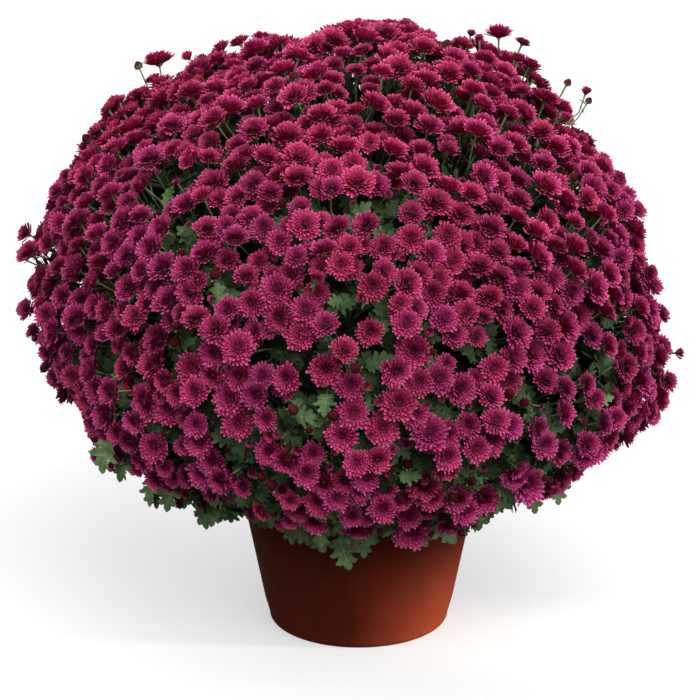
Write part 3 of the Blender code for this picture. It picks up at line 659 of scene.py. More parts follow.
def random_directions(count, lowest, rng):
    """Directions spread evenly over the mound's surface above an elevation."""
    tries = count * SPARE_TRIES
    height = rng.uniform(math.sin(lowest), 1.0, tries)
    azimuth = rng.uniform(0, TURN, tries)
    flat = np.sqrt(1 - height ** 2)
    directions = np.stack([flat * np.cos(azimuth), flat * np.sin(azimuth), height], axis=1)
    facing = np.maximum(STEEPEST, (mound_normals(directions) * directions).sum(axis=1))
    area = mound_reach(directions) ** 2 / facing
    kept = directions[rng.uniform(0, area.max(), tries) < area]
    return kept[:count]


def camera_axes():
    eye = from_axis(0.0, CAMERA_ELEVATION, CAMERA_DISTANCE)
    ahead = (CAMERA_TARGET - eye).normalized()
    across = Vector((1.0, 0.0, 0.0))
    return eye, ahead, across, across.cross(ahead)


def inside_outline(places):
    """How many pixels places lie inside the mound's outline in the photograph, below nought if outside."""
    eye, ahead, across, upward = (np.array(vector) for vector in camera_axes())
    spread = places - eye
    depth = spread @ ahead * PIXEL
    pixels = np.stack([MIDDLE + spread @ across / depth, MIDDLE - spread @ upward / depth], axis=1)
    starts = np.array(OUTLINE, float)
    edges = np.roll(starts, -1, axis=0) - starts
    away = pixels[:, None, :] - starts
    share = np.clip((away * edges).sum(axis=2) / (edges ** 2).sum(axis=1), 0, 1)
    nearest = np.linalg.norm(away - edges * share[:, :, None], axis=2).min(axis=1)
    passed = (away[:, :, 1] < 0) != (away[:, :, 1] < edges[:, 1])
    left = away[:, :, 0] < edges[:, 0] * away[:, :, 1] / edges[:, 1]
    return np.where((passed & left).sum(axis=1) % 2 == 1, nearest, -nearest)


def seen(pixels):
    """For the photograph's pixels, directions from the fork to the mound, and how proud of it they lie."""
    eye, ahead, across, upward = camera_axes()
    depths = np.linspace(CAMERA_DISTANCE - RAY_REACH, CAMERA_DISTANCE + RAY_REACH, RAY_STEPS)
    directions, stands = [], []
    for pixel in pixels:
        ray = ahead + across * (pixel[0] - MIDDLE) * PIXEL + upward * (MIDDLE - pixel[1]) * PIXEL
        spread = np.array(eye) + np.array(ray) * depths[:, None] - np.array(FORK)
        length = np.linalg.norm(spread, axis=1)
        towards = spread / length[:, None]
        stand = length - reach(towards)
        inside = np.flatnonzero(stand < 0)
        nearest = inside[0] if len(inside) else np.argmin(stand)
        directions.append(towards[nearest])
        stands.append(max(0.0, stand[nearest]))
    return np.array(directions), np.array(stands)


# Where blooms and gaps lie

def marked_kind(radius):
    """The kind of bloom that a marked radius belongs to."""
    return MARK_KINDS[sum(radius > limit for limit in MARK_LIMITS)]


def drawn_sites(rng):
    """Sites at random: their kinds, radii, directions, lowest elevations, and how far they stand proud."""
    shares = np.array([kind[0] for kind in KINDS])
    kinds = rng.choice(len(KINDS), BLOOM_SITES, p=shares)
    low, high = (np.array([kind[1][end] for kind in KINDS])[kinds] for end in (0, 1))
    radii = rng.uniform(low, high)
    directions = random_directions(BLOOM_SITES, SKIRT_ELEVATION, rng)
    lowest = SKIRT_ELEVATION + rng.uniform(-SKIRT_WANDER, SKIRT_WANDER, BLOOM_SITES)
    long_stalked = rng.uniform(0, 1, BLOOM_SITES) < LONG_STALKS
    stands = np.where(long_stalked, rng.uniform(*STALK_STAND, BLOOM_SITES), 0.0)
    gaps = rng.uniform(0, 1, BLOOM_SITES) < np.interp(directions[:, 2], GAP_HEIGHTS, GAP_SHARES)
    kinds[gaps] = GAP_KIND
    radii[gaps] = rng.uniform(*KINDS[GAP_KIND][1], gaps.sum())
    return kinds, radii, directions, lowest, stands


def pushed_apart(directions, radii, lowest):
    """The directions once the sites have pushed one another apart; those that the photograph shows stay."""
    held = directions[:MARKED].copy()
    places = on_mound(directions)
    for turn in range(SETTLING_ROUNDS):
        if turn % PAIRING_ROUNDS == 0:
            apart = np.linalg.norm(places[:, None, :] - places[None, :, :], axis=2)
            first, second = np.argwhere(np.triu(apart < NEIGHBOURHOOD, 1)).T
            wanted = (radii[first] + radii[second]) * CLOSENESS
        gap = places[first] - places[second]
        length = np.linalg.norm(gap, axis=1) + 1e-9
        push = gap * (PUSH * np.maximum(0.0, wanted - length) / length)[:, None]
        np.add.at(places, first, push)
        np.add.at(places, second, -push)
        directions = places - np.array(FORK)
        directions = lowered(directions / np.linalg.norm(directions, axis=1, keepdims=True), lowest)
        directions[:MARKED] = held
        places = on_mound(directions)
    return directions


def chinks(directions, radii, kinds, rng):
    """Directions to the chinks between the blooms, well apart and clear of the gaps."""
    tried = random_directions(UNDER_TRIES, SKIRT_ELEVATION, rng)
    apart = np.linalg.norm(on_mound(tried)[:, None, :] - on_mound(directions)[None, :, :], axis=2)
    clear = (apart + np.where(kinds == GAP_KIND, FAR_OFF, -radii)).min(axis=1)
    open_gap = (apart - np.where(kinds == GAP_KIND, radii, -FAR_OFF)).min(axis=1) < UNDER_MARGIN
    share = np.interp(tried[:, 2], UNDER_HEIGHTS, UNDER_SHARES)
    wanted = (clear > -UNDER_COVER) & ~open_gap & (rng.uniform(0, 1, len(tried)) < share)
    tried, clear = tried[wanted], clear[wanted]
    places, kept = on_mound(tried), []
    for k in np.argsort(-clear):
        if all(np.linalg.norm(places[k] - places[j]) > UNDER_SPACING for j in kept):
            kept.append(k)
    return tried[kept]


def settled_sites():
    """The sites' directions, radii, kinds and depths; those that the photograph shows come first."""
    rng = np.random.default_rng(SEED)
    kinds, radii, directions, lowest, stands = drawn_sites(rng)
    marked = SEEN_BLOOMS + SEEN_GAPS
    directions[:MARKED], stands[:MARKED] = seen(marked)
    radii[:MARKED] = [mark[2] / 1000 for mark in marked]
    kinds[:MARKED] = [marked_kind(mark[2] / 1000) for mark in SEEN_BLOOMS] + [GAP_KIND] * len(SEEN_GAPS)
    directions = pushed_apart(directions, radii, lowest)
    depths = np.where(stands > 0, -stands, rng.uniform(*BLOOM_DEPTH, BLOOM_SITES))
    depths[:MARKED] = -stands[:MARKED]
    thinned = rng.uniform(0, 1, BLOOM_SITES) < np.interp(directions[:, 2], THINNED_HEIGHTS, THINNED_SHARES)
    thinned[:MARKED] = False
    kinds[thinned] = GAP_KIND
    under = chinks(directions, radii, kinds, rng)
    directions = np.concatenate([directions, under])
    depths = np.concatenate([depths, rng.uniform(*UNDER_DEPTH, len(under))])
    radii = np.concatenate([radii, rng.uniform(*UNDER_RADIUS, len(under))])
    kinds = np.concatenate([kinds, np.zeros(len(under), int)])
    inside = inside_outline(on_mound(directions, depths)) * PIXEL * CAMERA_DISTANCE
    wanted = OUTLINE_CLEARANCE * radii + np.interp(directions[:, 2], LOW_HEIGHTS, (LOW_CLEARANCE, 0.0))
    short = np.clip(wanted - inside, 0.0, GREATEST_SHIFT)
    short[:MARKED] = 0.0
    return directions, radii, kinds, depths + short


# Forms of blooms

# Rows from foot to tip: the share of the petal's or sepal's width, length and rise at each
PETAL_ROWS = ((0.40, 0.0, 0.0), (0.72, 0.52, 0.44), (1.0, 0.83, 0.86), (0.48, 1.0, 1.0))
SEPAL_ROWS = ((0.50, 0.0, 0.0), (0.95, 0.62, 0.22), (0.80, 0.78, 0.72), (0.12, 1.0, 1.0))
# Whorls from the edge inwards: how many petals, where they start and end, the heights of foot and tip, width
FULL_BLOOM = (
    (25, 0.10, 1.00, -0.34, 0.03, 0.195),
    (22, 0.10, 0.88, -0.30, 0.17, 0.19),
    (20, 0.09, 0.75, -0.26, 0.29, 0.18),
    (17, 0.08, 0.61, -0.20, 0.37, 0.175),
    (13, 0.07, 0.47, -0.14, 0.41, 0.17),
    (10, 0.05, 0.34, -0.06, 0.40, 0.165),
    (7, 0.02, 0.20, 0.0, 0.35, 0.15),
)
FULL_BUTTON = (0.20, 0.25)
YOUNG_BLOOM = (
    (20, 0.10, 0.98, -0.36, 0.14, 0.22),
    (17, 0.09, 0.84, -0.30, 0.32, 0.21),
    (14, 0.08, 0.67, -0.20, 0.45, 0.20),
    (11, 0.06, 0.48, -0.10, 0.49, 0.19),
    (7, 0.03, 0.27, 0.0, 0.44, 0.17),
)
YOUNG_BUTTON = (0.22, 0.33)
OPENING_BLOOM = (
    (14, 0.14, 0.98, -0.36, 0.42, 0.30),
    (12, 0.12, 0.76, -0.26, 0.66, 0.28),
    (9, 0.08, 0.50, -0.10, 0.74, 0.25),
    (6, 0.04, 0.28, 0.0, 0.70, 0.22),
)
OPENING_BUTTON = (0.22, 0.50)
BUD_SEPALS = (9, 0.12, 1.28, -0.50, 0.62, 0.58)
BLOOM_FORMS = (              # name, whorls, the button's radius and top, and a seed
    ("full_a", FULL_BLOOM, FULL_BUTTON, 21),
    ("full_b", FULL_BLOOM, FULL_BUTTON, 22),
    ("full_c", FULL_BLOOM, FULL_BUTTON, 23),
    ("young", YOUNG_BLOOM, YOUNG_BUTTON, 24),
    ("opening", OPENING_BLOOM, OPENING_BUTTON, 25),
)
WHORL_RANGE = 0.8            # the attribute of the innermost whorls stays below it, and the button has 1
PETAL_STRETCH = (0.82, 1.08)
PETAL_LIFT = 0.08
PETAL_ROLL = 0.6
BUTTON_HEIGHT = 0.12
CALYX_FOOT = 0.46            # how far the calyx reaches below a bloom, as a share of its radius
CALYX_HEIGHT = 0.24
CALYX_RADIUS = 0.27
BUD_RIDGES = 8
BUD_RIDGE = 0.07
ASIDE = 5                    # how far the rows of a grid that have been shaped are lifted out of the way


def petal_whorl(petals, start, end, foot, tip, width, whorl, rng, outline=PETAL_ROWS):
    """One whorl: a petal is shaped row by row from a grid and spun round the axis, then each is stirred."""
    rows = len(outline)
    bpy.ops.mesh.primitive_grid_add(x_subdivisions=1, y_subdivisions=rows - 1, size=1, enter_editmode=True)
    for k, (breadth, out, rise) in enumerate(outline):
        row_y = k / (rows - 1) - 0.5
        pick(lambda co, y=row_y: abs(co.y - y) < 0.01 and abs(co.z) < 1e-6)
        bpy.ops.transform.resize(value=(breadth * width, 1, 1))
        along, up = start + (end - start) * out - row_y, ASIDE + foot + (tip - foot) * rise
        bpy.ops.transform.translate(value=(0, along, up))
    pick(lambda co: abs(co.y - start) < 1e-4)
    bpy.ops.mesh.merge(type="CENTER")
    bpy.ops.mesh.select_all(action="SELECT")
    bpy.ops.transform.translate(value=(0, 0, -ASIDE))
    sweep = TURN * (petals - 1) / petals
    bpy.ops.mesh.spin(steps=petals - 1, dupli=True, angle=sweep, center=(0, 0, 0), axis=(0, 0, 1))
    bpy.ops.object.mode_set(mode="OBJECT")
    ring = bpy.context.object
    size = len(ring.data.vertices) // petals
    for k in range(petals):
        stretch = rng.uniform(*PETAL_STRETCH)
        lift = rng.uniform(-PETAL_LIFT, PETAL_LIFT)
        roll = rng.uniform(-PETAL_ROLL, PETAL_ROLL)
        petal = ring.data.vertices[k * size:(k + 1) * size]
        middle = sum((v.co for v in petal), Vector())
        sideways = Vector((-middle.y, middle.x, 0.0)).normalized()
        for v in petal:
            out = math.hypot(v.co.x, v.co.y) / end
            rise = lift * out + roll * v.co.dot(sideways)
            v.co = v.co * (1 + (stretch - 1) * out) + Vector((0.0, 0.0, rise))
    ring.data.transform(Matrix.Rotation(rng.uniform(0, TURN), 4, "Z"))
    tag(ring.data, "whorl", whorl)
    return ring


def half_globe(radius, height, foot, segments, whorl, material):
    """A low dome on the bloom's axis: the button of closed petals, or upside down the calyx."""
    bpy.ops.mesh.primitive_uv_sphere_add(segments=segments, ring_count=6, radius=1, enter_editmode=True)
    pick(lambda co: co.z * height < -0.01)
    bpy.ops.mesh.delete(type="VERT")
    bpy.ops.mesh.select_all(action="SELECT")
    bpy.ops.transform.resize(value=(radius, radius, abs(height)), center_override=(0, 0, 0))
    bpy.ops.transform.translate(value=(0, 0, foot))
    bpy.ops.object.mode_set(mode="OBJECT")
    dome = bpy.context.object
    dome.data.materials.append(material)
    tag(dome.data, "whorl", whorl)
    return dome


def bloom_form(name, whorls, button, seed, petals, calyx):
    rng = random.Random(seed)
    pieces = []
    for k, whorl in enumerate(whorls):
        ring = petal_whorl(*whorl, WHORL_RANGE * k / len(whorls), rng)
        ring.data.materials.append(petals)
        pieces.append(ring)
    radius, top = button
    pieces.append(half_globe(radius, BUTTON_HEIGHT, top - BUTTON_HEIGHT, 10, 1.0, petals))
    pieces.append(half_globe(CALYX_RADIUS, -CALYX_HEIGHT, CALYX_HEIGHT - CALYX_FOOT, 8, 0.0, calyx))
    form = joined(name, pieces)
    form.data.shade_smooth()
    return form


def bud_form(petals, calyx):
    """A tight bud: a globe of furled petals, a little pointed, held by a ring of sepals."""
    bpy.ops.mesh.primitive_uv_sphere_add(segments=16, ring_count=7, radius=0.86, enter_editmode=True)
    pick(lambda co: co.z > 0.5)
    bpy.ops.transform.resize(value=(0.8, 0.8, 1.08), center_override=(0, 0, 0))
    bpy.ops.mesh.select_all(action="SELECT")
    bpy.ops.transform.translate(value=(0, 0, 0.45))
    bpy.ops.object.mode_set(mode="OBJECT")
    globe = bpy.context.object
    for v in globe.data.vertices:
        ridge = 1 + BUD_RIDGE * math.cos(BUD_RIDGES * math.atan2(v.co.y, v.co.x))
        v.co = Vector((v.co.x * ridge, v.co.y * ridge, v.co.z))
    globe.data.materials.append(petals)
    tag(globe.data, "whorl", 1.0)
    sepals = petal_whorl(*BUD_SEPALS, 0.0, random.Random(SEED), SEPAL_ROWS)
    sepals.data.materials.append(calyx)
    form = joined("bud", [globe, sepals])
    form.data.shade_smooth()
    return form


# Forms of leaves

# Rows from the stalk to the tip: the place on the middle rib, half width, and how far the edge lies ahead
LEAF_ROWS = (
    (-0.35, 0.014, 0.0), (0.0, 0.018, 0.0), (0.06, 0.06, 0.0), (0.11, 0.24, -0.02), (0.15, 0.22, 0.01),
    (0.18, 0.34, 0.03), (0.22, 0.30, 0.07), (0.27, 0.09, 0.01), (0.33, 0.27, 0.0), (0.37, 0.25, 0.02),
    (0.41, 0.43, 0.08), (0.45, 0.37, 0.13), (0.52, 0.10, 0.02), (0.59, 0.21, 0.0), (0.63, 0.19, 0.02),
    (0.68, 0.29, 0.08), (0.73, 0.21, 0.11), (0.79, 0.11, 0.02), (0.88, 0.11, 0.04), (1.0, 0.022, 0.01),
)
BRACT_ROWS = ((0.0, 0.05, 0.0), (0.35, 0.15, 0.0), (0.70, 0.12, 0.0), (1.0, 0.01, 0.0))
LEAF_FORMS = (("leaf_a", 0.18, 0.25), ("leaf_b", 0.35, 0.10), ("leaf_c", 0.05, 0.40))     # name, droop, fold
LEAF_SPREAD = (0.88, 1.12)   # how much wider or narrower single rows are
LEAF_WAVE = 0.03
LEAF_ARCH = 0.5


def leaf_form(name, outline, droop, fold, material, rng):
    """A lobed leaf: a grid whose rows are spread to the lobes, folded along its rib and bent down."""
    rows = len(outline)
    bpy.ops.mesh.primitive_grid_add(x_subdivisions=2, y_subdivisions=rows - 1, size=1, enter_editmode=True)
    for k, (rib, half_width, ahead) in enumerate(outline):
        row_y = k / (rows - 1) - 0.5
        pick(lambda co, y=row_y: abs(co.y - y) < 0.01 and abs(co.z) < 1e-6)
        bpy.ops.transform.resize(value=(2 * half_width * rng.uniform(*LEAF_SPREAD), 1, 1))
        bpy.ops.transform.translate(value=(0, rib - row_y, ASIDE))
        pick(lambda co, y=rib: abs(co.y - y) < 0.001 and co.z > ASIDE / 2 and abs(co.x) > 0.005)
        bpy.ops.transform.translate(value=(0, ahead, fold * half_width))
    bpy.ops.mesh.select_all(action="SELECT")
    bpy.ops.transform.translate(value=(0, 0, -ASIDE))
    bpy.ops.object.mode_set(mode="OBJECT")
    form = bpy.context.object
    form.name = name
    for v in form.data.vertices:
        v.co.z += -droop * max(0.0, v.co.y) ** 2 + LEAF_WAVE * math.sin(9 * v.co.y + 20 * v.co.x)
        v.co.z -= LEAF_ARCH * v.co.x ** 2
    form.data.shade_smooth()
    form.data.materials.append(material)
    return form


# Floor, lights and camera

def set_stage():
    bpy.ops.mesh.primitive_plane_add(size=FLOOR_WIDTH)
    floor = bpy.context.object
    floor.name = "floor"
    material, tree = new_finish("floor_paint", 0.9)
    shader = tree.nodes["Principled BSDF"]
    shader.inputs["Base Color"].default_value = (FLOOR_GREY, FLOOR_GREY, FLOOR_GREY, 1.0)
    shader.inputs["Emission Color"].default_value = (1.0, 1.0, 1.0, 1.0)
    shader.inputs["Emission Strength"].default_value = FLOOR_GLOW
    floor.data.materials.append(material)
    floor.visible_diffuse = False
    floor.visible_glossy = False
    world = bpy.data.worlds.new("studio")
    bpy.context.scene.world = world
    world.use_nodes = True
    tree = world.node_tree
    direction = add_node(tree, "ShaderNodeTexCoord").outputs["Generated"]
    height = add_node(tree, "ShaderNodeSeparateXYZ", {"Vector": direction}).outputs["Z"]
    tree.links.new(ramp(tree, height, *SKY), tree.nodes["Background"].inputs["Color"])
    for name, strength, spread, azimuth, elevation in SOFT_LIGHTS:
        lamp = bpy.data.lights.new(name, "SUN")
        lamp.energy = strength
        lamp.angle = math.radians(spread)
        aim_light(name, lamp, from_axis(azimuth, math.radians(elevation), CAMERA_DISTANCE), CAMERA_TARGET)
    overhead = bpy.data.lights.new("overhead", "AREA")
    overhead.size = OVERHEAD_WIDTH
    overhead.energy = OVERHEAD_POWER
    aim_light("overhead", overhead, OVERHEAD_PLACE, CAMERA_TARGET)
    side = bpy.data.lights.new("side", "SPOT")
    side.energy = SIDE_POWER
    side.color = SIDE_COLOUR
    side.spot_size = SIDE_CONE
    side.spot_blend = SIDE_BLEND
    side.shadow_soft_size = SIDE_RADIUS
    aim_light("side", side, SIDE_PLACE, SIDE_TARGET)
    bpy.context.scene.view_settings.view_transform = "Standard"


def from_axis(azimuth, elevation, distance):
    """A place seen from the plant's middle; azimuth is in degrees from the photographer's side towards +X."""
    a = math.radians(azimuth)
    level = Vector((math.sin(a), -math.cos(a), 0.0))
    return CAMERA_TARGET + (level * math.cos(elevation) + UP * math.sin(elevation)) * distance


def aim_light(name, lamp, place, target):
    light = new_object(name, lamp)
    light.location = place
    light.rotation_euler = (target - place).to_track_quat("-Z", "Y").to_euler()


def add_camera():
    camera = new_object("camera", bpy.data.cameras.new("camera"))
    camera.data.lens = CAMERA_LENS
    camera.data.sensor_width = SENSOR_WIDTH
    camera.location = from_axis(0.0, CAMERA_ELEVATION, CAMERA_DISTANCE)
    camera.rotation_euler = (CAMERA_TARGET - camera.location).to_track_quat("-Z", "Y").to_euler()
    bpy.context.scene.camera = camera


# Planting

def facing_at(direction, normal, rng):
    """Which way a bloom faces: out of the mound, away from the fork, a little up and a little at random."""
    facing = (Vector(normal) + UP * UPWARD).normalized() + Vector(direction) * OUTWARD
    facing = facing.normalized()
    return (facing + any_side(facing, rng) * rng.uniform(0, BLOOM_TILT)).normalized()


def frontal_turn(column, row):
    """How much more a marked bloom at a pixel faces the photographer."""
    if row > FRONTAL_BELOW:
        return FRONTAL_TURN_BELOW
    return FRONTAL_TURN_BEYOND if abs(column - MIDDLE) > FRONTAL_BEYOND else 0.0


def plant_blooms(sites):
    """The sprays' beds with their gaps, and their blooms as (form, place, facing, radius, purple, shade)."""
    directions, radii, kinds, depths = sites
    rng = random.Random(SEED + 1)
    eye = camera_axes()[0]
    beds = [{"blooms": [], "gaps": []} for _ in AXES]
    normals = mound_normals(directions)
    rows = zip(directions, radii, kinds, depths, spray_of(directions), reach(directions), normals)
    for k, (direction, radius, kind, depth, spray, far, normal) in enumerate(rows):
        form = rng.choice(KINDS[kind][2])
        facing = facing_at(direction, normal, rng)
        place = FORK + Vector(direction) * (far - depth)
        if k < len(SEEN_BLOOMS):
            column, row, _ = SEEN_BLOOMS[k]
            facing = (facing + (eye - place).normalized() * frontal_turn(column, row)).normalized()
        if form == GAP:
            beds[spray]["gaps"].append((Vector(direction), far, Vector(normal)))
            if rng.random() > GAP_BUDS:
                continue
            form = rng.choice(GAP_FORMS)
            size = rng.uniform(*BUD_RADIUS)
            sideways = any_side(facing, rng) * rng.uniform(*BUD_SPREAD) * radius
            place += sideways - facing * rng.uniform(*BUD_SINK)
            radius = size
        elif k >= MARKED:
            place -= facing * BLOOM_SINK * radius
        patch = PURPLE_PATCH * noise.noise(Vector(direction) * PURPLE_PATCH_COUNT)
        lean = PURPLE - PURPLE_DROP * direction[2] + PURPLE_SIDES * abs(direction[0])
        purple = min(1.0, max(0.0, lean + patch + rng.uniform(-PURPLE_WANDER, PURPLE_WANDER)))
        # A random tone of the bloom's own, times painted light that is lighter low down and at the top
        shade = rng.uniform(*BLOOM_SHADES) * np.interp(direction[2], SHADE_HEIGHTS, SHADE_SHARES)
        beds[spray]["blooms"].append((form, place, facing, radius, purple, shade))
    return beds


def make_blooms(bed, forms, rng):
    pieces = []
    for form, place, facing, radius, purple, shade in bed["blooms"]:
        across = any_side(facing, rng)
        pieces.append(set_out(forms[form], place, across, facing, radius, purple=purple, shade=shade))
    return pieces


def leaf_spot(place, growth, face, length, shade):
    """A leaf whose middle lies at a place, growing one way and facing another."""
    face = (face - growth * face.dot(growth)).normalized()
    return place - growth * LEAF_BACK * length, growth.cross(face), face, length, shade


def poking(points, places, facings, radii):
    """Which points lie in or just over a bloom."""
    width, low, high = BLOOM_BODY
    spread = points[:, None, :] - places
    height = (spread * facings).sum(axis=2)
    beside = np.linalg.norm(spread - height[:, :, None] * facings, axis=2)
    return ((beside < width * radii) & (height > low * radii) & (height < high * radii)).any(axis=1)


def inward(place, slack):
    """The way from a place to the fork, or level to the axis below it where there is a slack."""
    rise = 0.0 if slack else 1.0
    return Vector((-place.x, -place.y, (FORK.z - place.z) * rise)).normalized()


def settled_leaves(found, blooms, slack=0.0):
    """The leaves that poke through no bloom and not out of the outline, some after being sunk inwards.

    Leaves with a slack, the hanging ones, are sunk level.
    """
    kept, tried = [], found
    for _ in range(SINKINGS + 1):
        if not tried:
            break
        base, across, face = (np.array([leaf[k] for leaf in tried]) for k in range(3))
        length = np.array([leaf[3] for leaf in tried])[:, None]
        along = np.cross(face, across)
        bad = inside_outline(base + along * length) < -slack
        for up, out in LEAF_PROBES:
            bad |= poking(base + (along * up + across * out) * length, *blooms)
        kept += [leaf for leaf, wrong in zip(tried, bad) if not wrong]
        tried = [leaf for leaf, wrong in zip(tried, bad) if wrong and leaf[3] > BRACT_LENGTH[1]]
        tried = [(leaf[0] + inward(leaf[0], slack) * SINK_STEP, *leaf[1:]) for leaf in tried]
    return kept


def gap_leaves(bed, rng):
    """The leaves in a spray's gaps, the first ones in each gap light and the others dark as painted shade,
    and all lighter low down as painted light.
    """
    found = []
    for direction, far, normal in bed["gaps"]:
        light = 1 + 2 * (direction.z < LOW_GAP)
        for k in range(GAP_LEAVES):
            growth = any_side(normal, rng)
            growth = (growth + normal * rng.uniform(*GAP_LEAF_LEAN)).normalized()
            face = normal + any_side(normal, rng) * rng.uniform(0, GAP_LEAF_TURN) + UP * LEAF_UPWARD
            sunk = rng.uniform(*GAP_LEAF_SINK) + TOP_SINK * max(0.0, direction.z)
            place = FORK + direction * (far - sunk) + growth * rng.uniform(0, GAP_LEAF_SPREAD)
            # Painted shade on the gap's later leaves, and painted light on those low down
            shade = rng.uniform(*GAP_LEAF_SHADES[k >= light])
            shade *= np.interp(direction.z, GAP_SHADE_HEIGHTS, GAP_SHADE_SHARES)
            found.append(leaf_spot(place, growth, face, rng.uniform(*GAP_LEAF_LENGTH), shade))
    return found


def bracts(bed, rng):
    """The small leaves under some of a spray's blooms."""
    found = []
    for _, place, facing, radius, _, _ in bed["blooms"]:
        if rng.random() < BRACT_SHARE:
            growth = (any_side(facing, rng) + facing * rng.uniform(*BRACT_LEAN)).normalized()
            at = place - facing * (CALYX_FOOT * radius + rng.uniform(*BRACT_SINK))
            length = rng.uniform(*BRACT_LENGTH)
            found.append(leaf_spot(at, growth, facing, length, rng.uniform(*BRACT_SHADES)))
    return found


def add_layer(layer, spots, rng, draws):
    """Adds a layer of leaves that lies under the blooms to the sprays."""
    count, shallow, deep, shades, lengths = layer
    directions = random_directions(count, SKIRT_ELEVATION, draws)
    normals = mound_normals(directions)
    for direction, normal, far, spray in zip(directions, normals, reach(directions), spray_of(directions)):
        normal = Vector(normal)
        growth = any_side(normal, rng) + normal * rng.uniform(*LAYER_LEAN)
        growth = (growth - UP * LEAF_UPWARD).normalized()
        face = normal + any_side(normal, rng) * rng.uniform(0, LAYER_TURN)
        sunk = rng.uniform(shallow, deep) + TOP_LAYER_SINK * max(0.0, direction[2])
        place = FORK + Vector(direction) * (far - sunk)
        length = rng.uniform(*lengths)
        # The leaf's shade: painted shade that darkens the deeper layers, and painted light low down
        shade = rng.uniform(*shades)
        shade *= np.interp(direction[2], LAYER_SHADE_HEIGHTS, LAYER_SHADE_SHARES)
        spots[spray].append(leaf_spot(place, growth, face, length, shade))


def add_fringe(spots, rng):
    """Adds the leaves that hang round the mound's lower edge to the sprays."""
    for k in range(FRINGE_LEAVES):
        azimuth = TURN * (k + rng.uniform(0, 1)) / FRINGE_LEAVES
        level = Vector((math.cos(azimuth), math.sin(azimuth), 0.0))
        direction = level * math.cos(SKIRT_ELEVATION) + UP * math.sin(SKIRT_ELEVATION)
        far = reach(np.array([direction]))[0]
        share = 1.0 if k % 2 else rng.uniform(*FRINGE_REACH)
        place = FORK + direction * (far * share - rng.uniform(*FRINGE_SINK))
        growth = level * rng.uniform(*FRINGE_OUTWARD) - UP
        growth += level.cross(UP) * rng.uniform(-FRINGE_ASIDE, FRINGE_ASIDE)
        growth = growth.normalized()
        place += growth * rng.uniform(*FRINGE_SHIFT)
        spray = spray_of(np.array([direction]))[0]
        face = level + level.cross(UP) * rng.uniform(-FRINGE_TURN, FRINGE_TURN)
        face += UP * rng.uniform(*FRINGE_UPWARD)
        length = rng.uniform(*FRINGE_LENGTH)
        spots[spray].append(leaf_spot(place, growth, face, length, rng.uniform(*FRINGE_SHADES)))


def hanging_leaves(rng):
    """For every spray, the leaves whose tips the photograph shows over the pot's rim."""
    hanging = [[] for _ in AXES]
    directions, stands = seen(SEEN_LEAF_TIPS)
    for direction, stand, spray in zip(directions, stands, spray_of(directions)):
        tip = FORK + Vector(direction) * (reach(np.array([direction]))[0] + stand)
        level = Vector((direction[0], direction[1], 0.0)).normalized()
        growth = level * rng.uniform(*HANGING_OUTWARD) - UP
        growth += level.cross(UP) * rng.uniform(-HANGING_ASIDE, HANGING_ASIDE)
        growth = growth.normalized()
        face = level + (camera_axes()[0] - tip).normalized() * rng.uniform(*HANGING_TURN)
        length = rng.uniform(*HANGING_LEAF_LENGTH)
        middle = tip - growth * (1 - LEAF_BACK) * length
        hanging[spray].append(leaf_spot(middle, growth, face, length, rng.uniform(*HANGING_SHADES)))
    return hanging


def plan_leaves(beds):
    """Where leaves grow: in the gaps, under the blooms, in three layers below them, and round the skirt."""
    rng = random.Random(SEED + 2)
    draws = np.random.default_rng(SEED + 3)
    spots = [gap_leaves(bed, rng) + bracts(bed, rng) for bed in beds]
    for layer in LEAF_LAYERS:
        add_layer(layer, spots, rng, draws)
    add_fringe(spots, rng)
    planted = [bloom for bed in beds for bloom in bed["blooms"]]
    blooms = [np.array([bloom[k] for bloom in planted]) for k in (1, 2, 3)]
    planned = []
    for found, hung in zip(spots, hanging_leaves(rng)):
        planned.append(settled_leaves(found, blooms) + settled_leaves(hung, blooms, HANGING_SLACK))
    return planned


def make_stems(spray, bed, material, rng):
    """The stems of a spray: from the crown to a joint, on to its branches and out to every bloom."""
    curve = bpy.data.curves.new(f"stems_{spray + 1:02d}", "CURVE")
    curve.dimensions = "3D"
    curve.bevel_depth = 1.0
    curve.bevel_resolution = 0
    curve.use_fill_caps = True
    axis = Vector(AXES[spray])
    size = reach(AXES[spray:spray + 1])[0]
    heart = FORK + axis * STEM_HEART * size
    bow = FORK + axis * STEM_BOW * size + level_pair(axis, 1.0) * BOW_ASIDE
    add_run(curve, (FORK + axis * CROWN_REACH, bow, heart), STEM_RADII)

    def turn_of(bloom):
        spread = bloom[1] - heart
        return math.atan2(spread.dot(level_pair(axis, 0.0)), spread.dot(level_pair(axis, math.pi / 2)))

    blooms = sorted(bed["blooms"], key=turn_of)
    for first in range(0, len(blooms), BRANCH_BLOOMS):
        group = blooms[first:first + BRANCH_BLOOMS]
        middle = sum((bloom[1] for bloom in group), Vector()) / len(group)
        joint = heart.lerp(middle, BRANCH_REACH)
        add_run(curve, (heart, heart.lerp(joint, 0.5) + UP * BRANCH_LIFT, joint), BRANCH_RADII)
        for _, place, facing, radius, _, _ in group:
            foot = place - facing * CALYX_FOOT * STALK_END * radius
            bend = foot - facing * rng.uniform(*STALK_BEND)
            add_run(curve, (joint, joint.lerp(bend, STALK_RISE) + UP * STALK_LIFT, bend, foot), STALK_RADII)
    activate(new_object(curve.name, curve))
    bpy.ops.object.convert(target="MESH")
    piece = bpy.context.object
    piece.data.shade_smooth()
    piece.data.materials.clear()
    piece.data.materials.append(material)
    return piece


def add_run(curve, points, radii):
    run = curve.splines.new("POLY")
    run.points.add(len(points) - 1)
    for point, place, radius in zip(run.points, points, radii):
        point.co = (*place, 1.0)
        point.radius = radius


# Pot and soil

def pot_radius(height):
    return POT_BASE_RADIUS + POT_FLARE * height


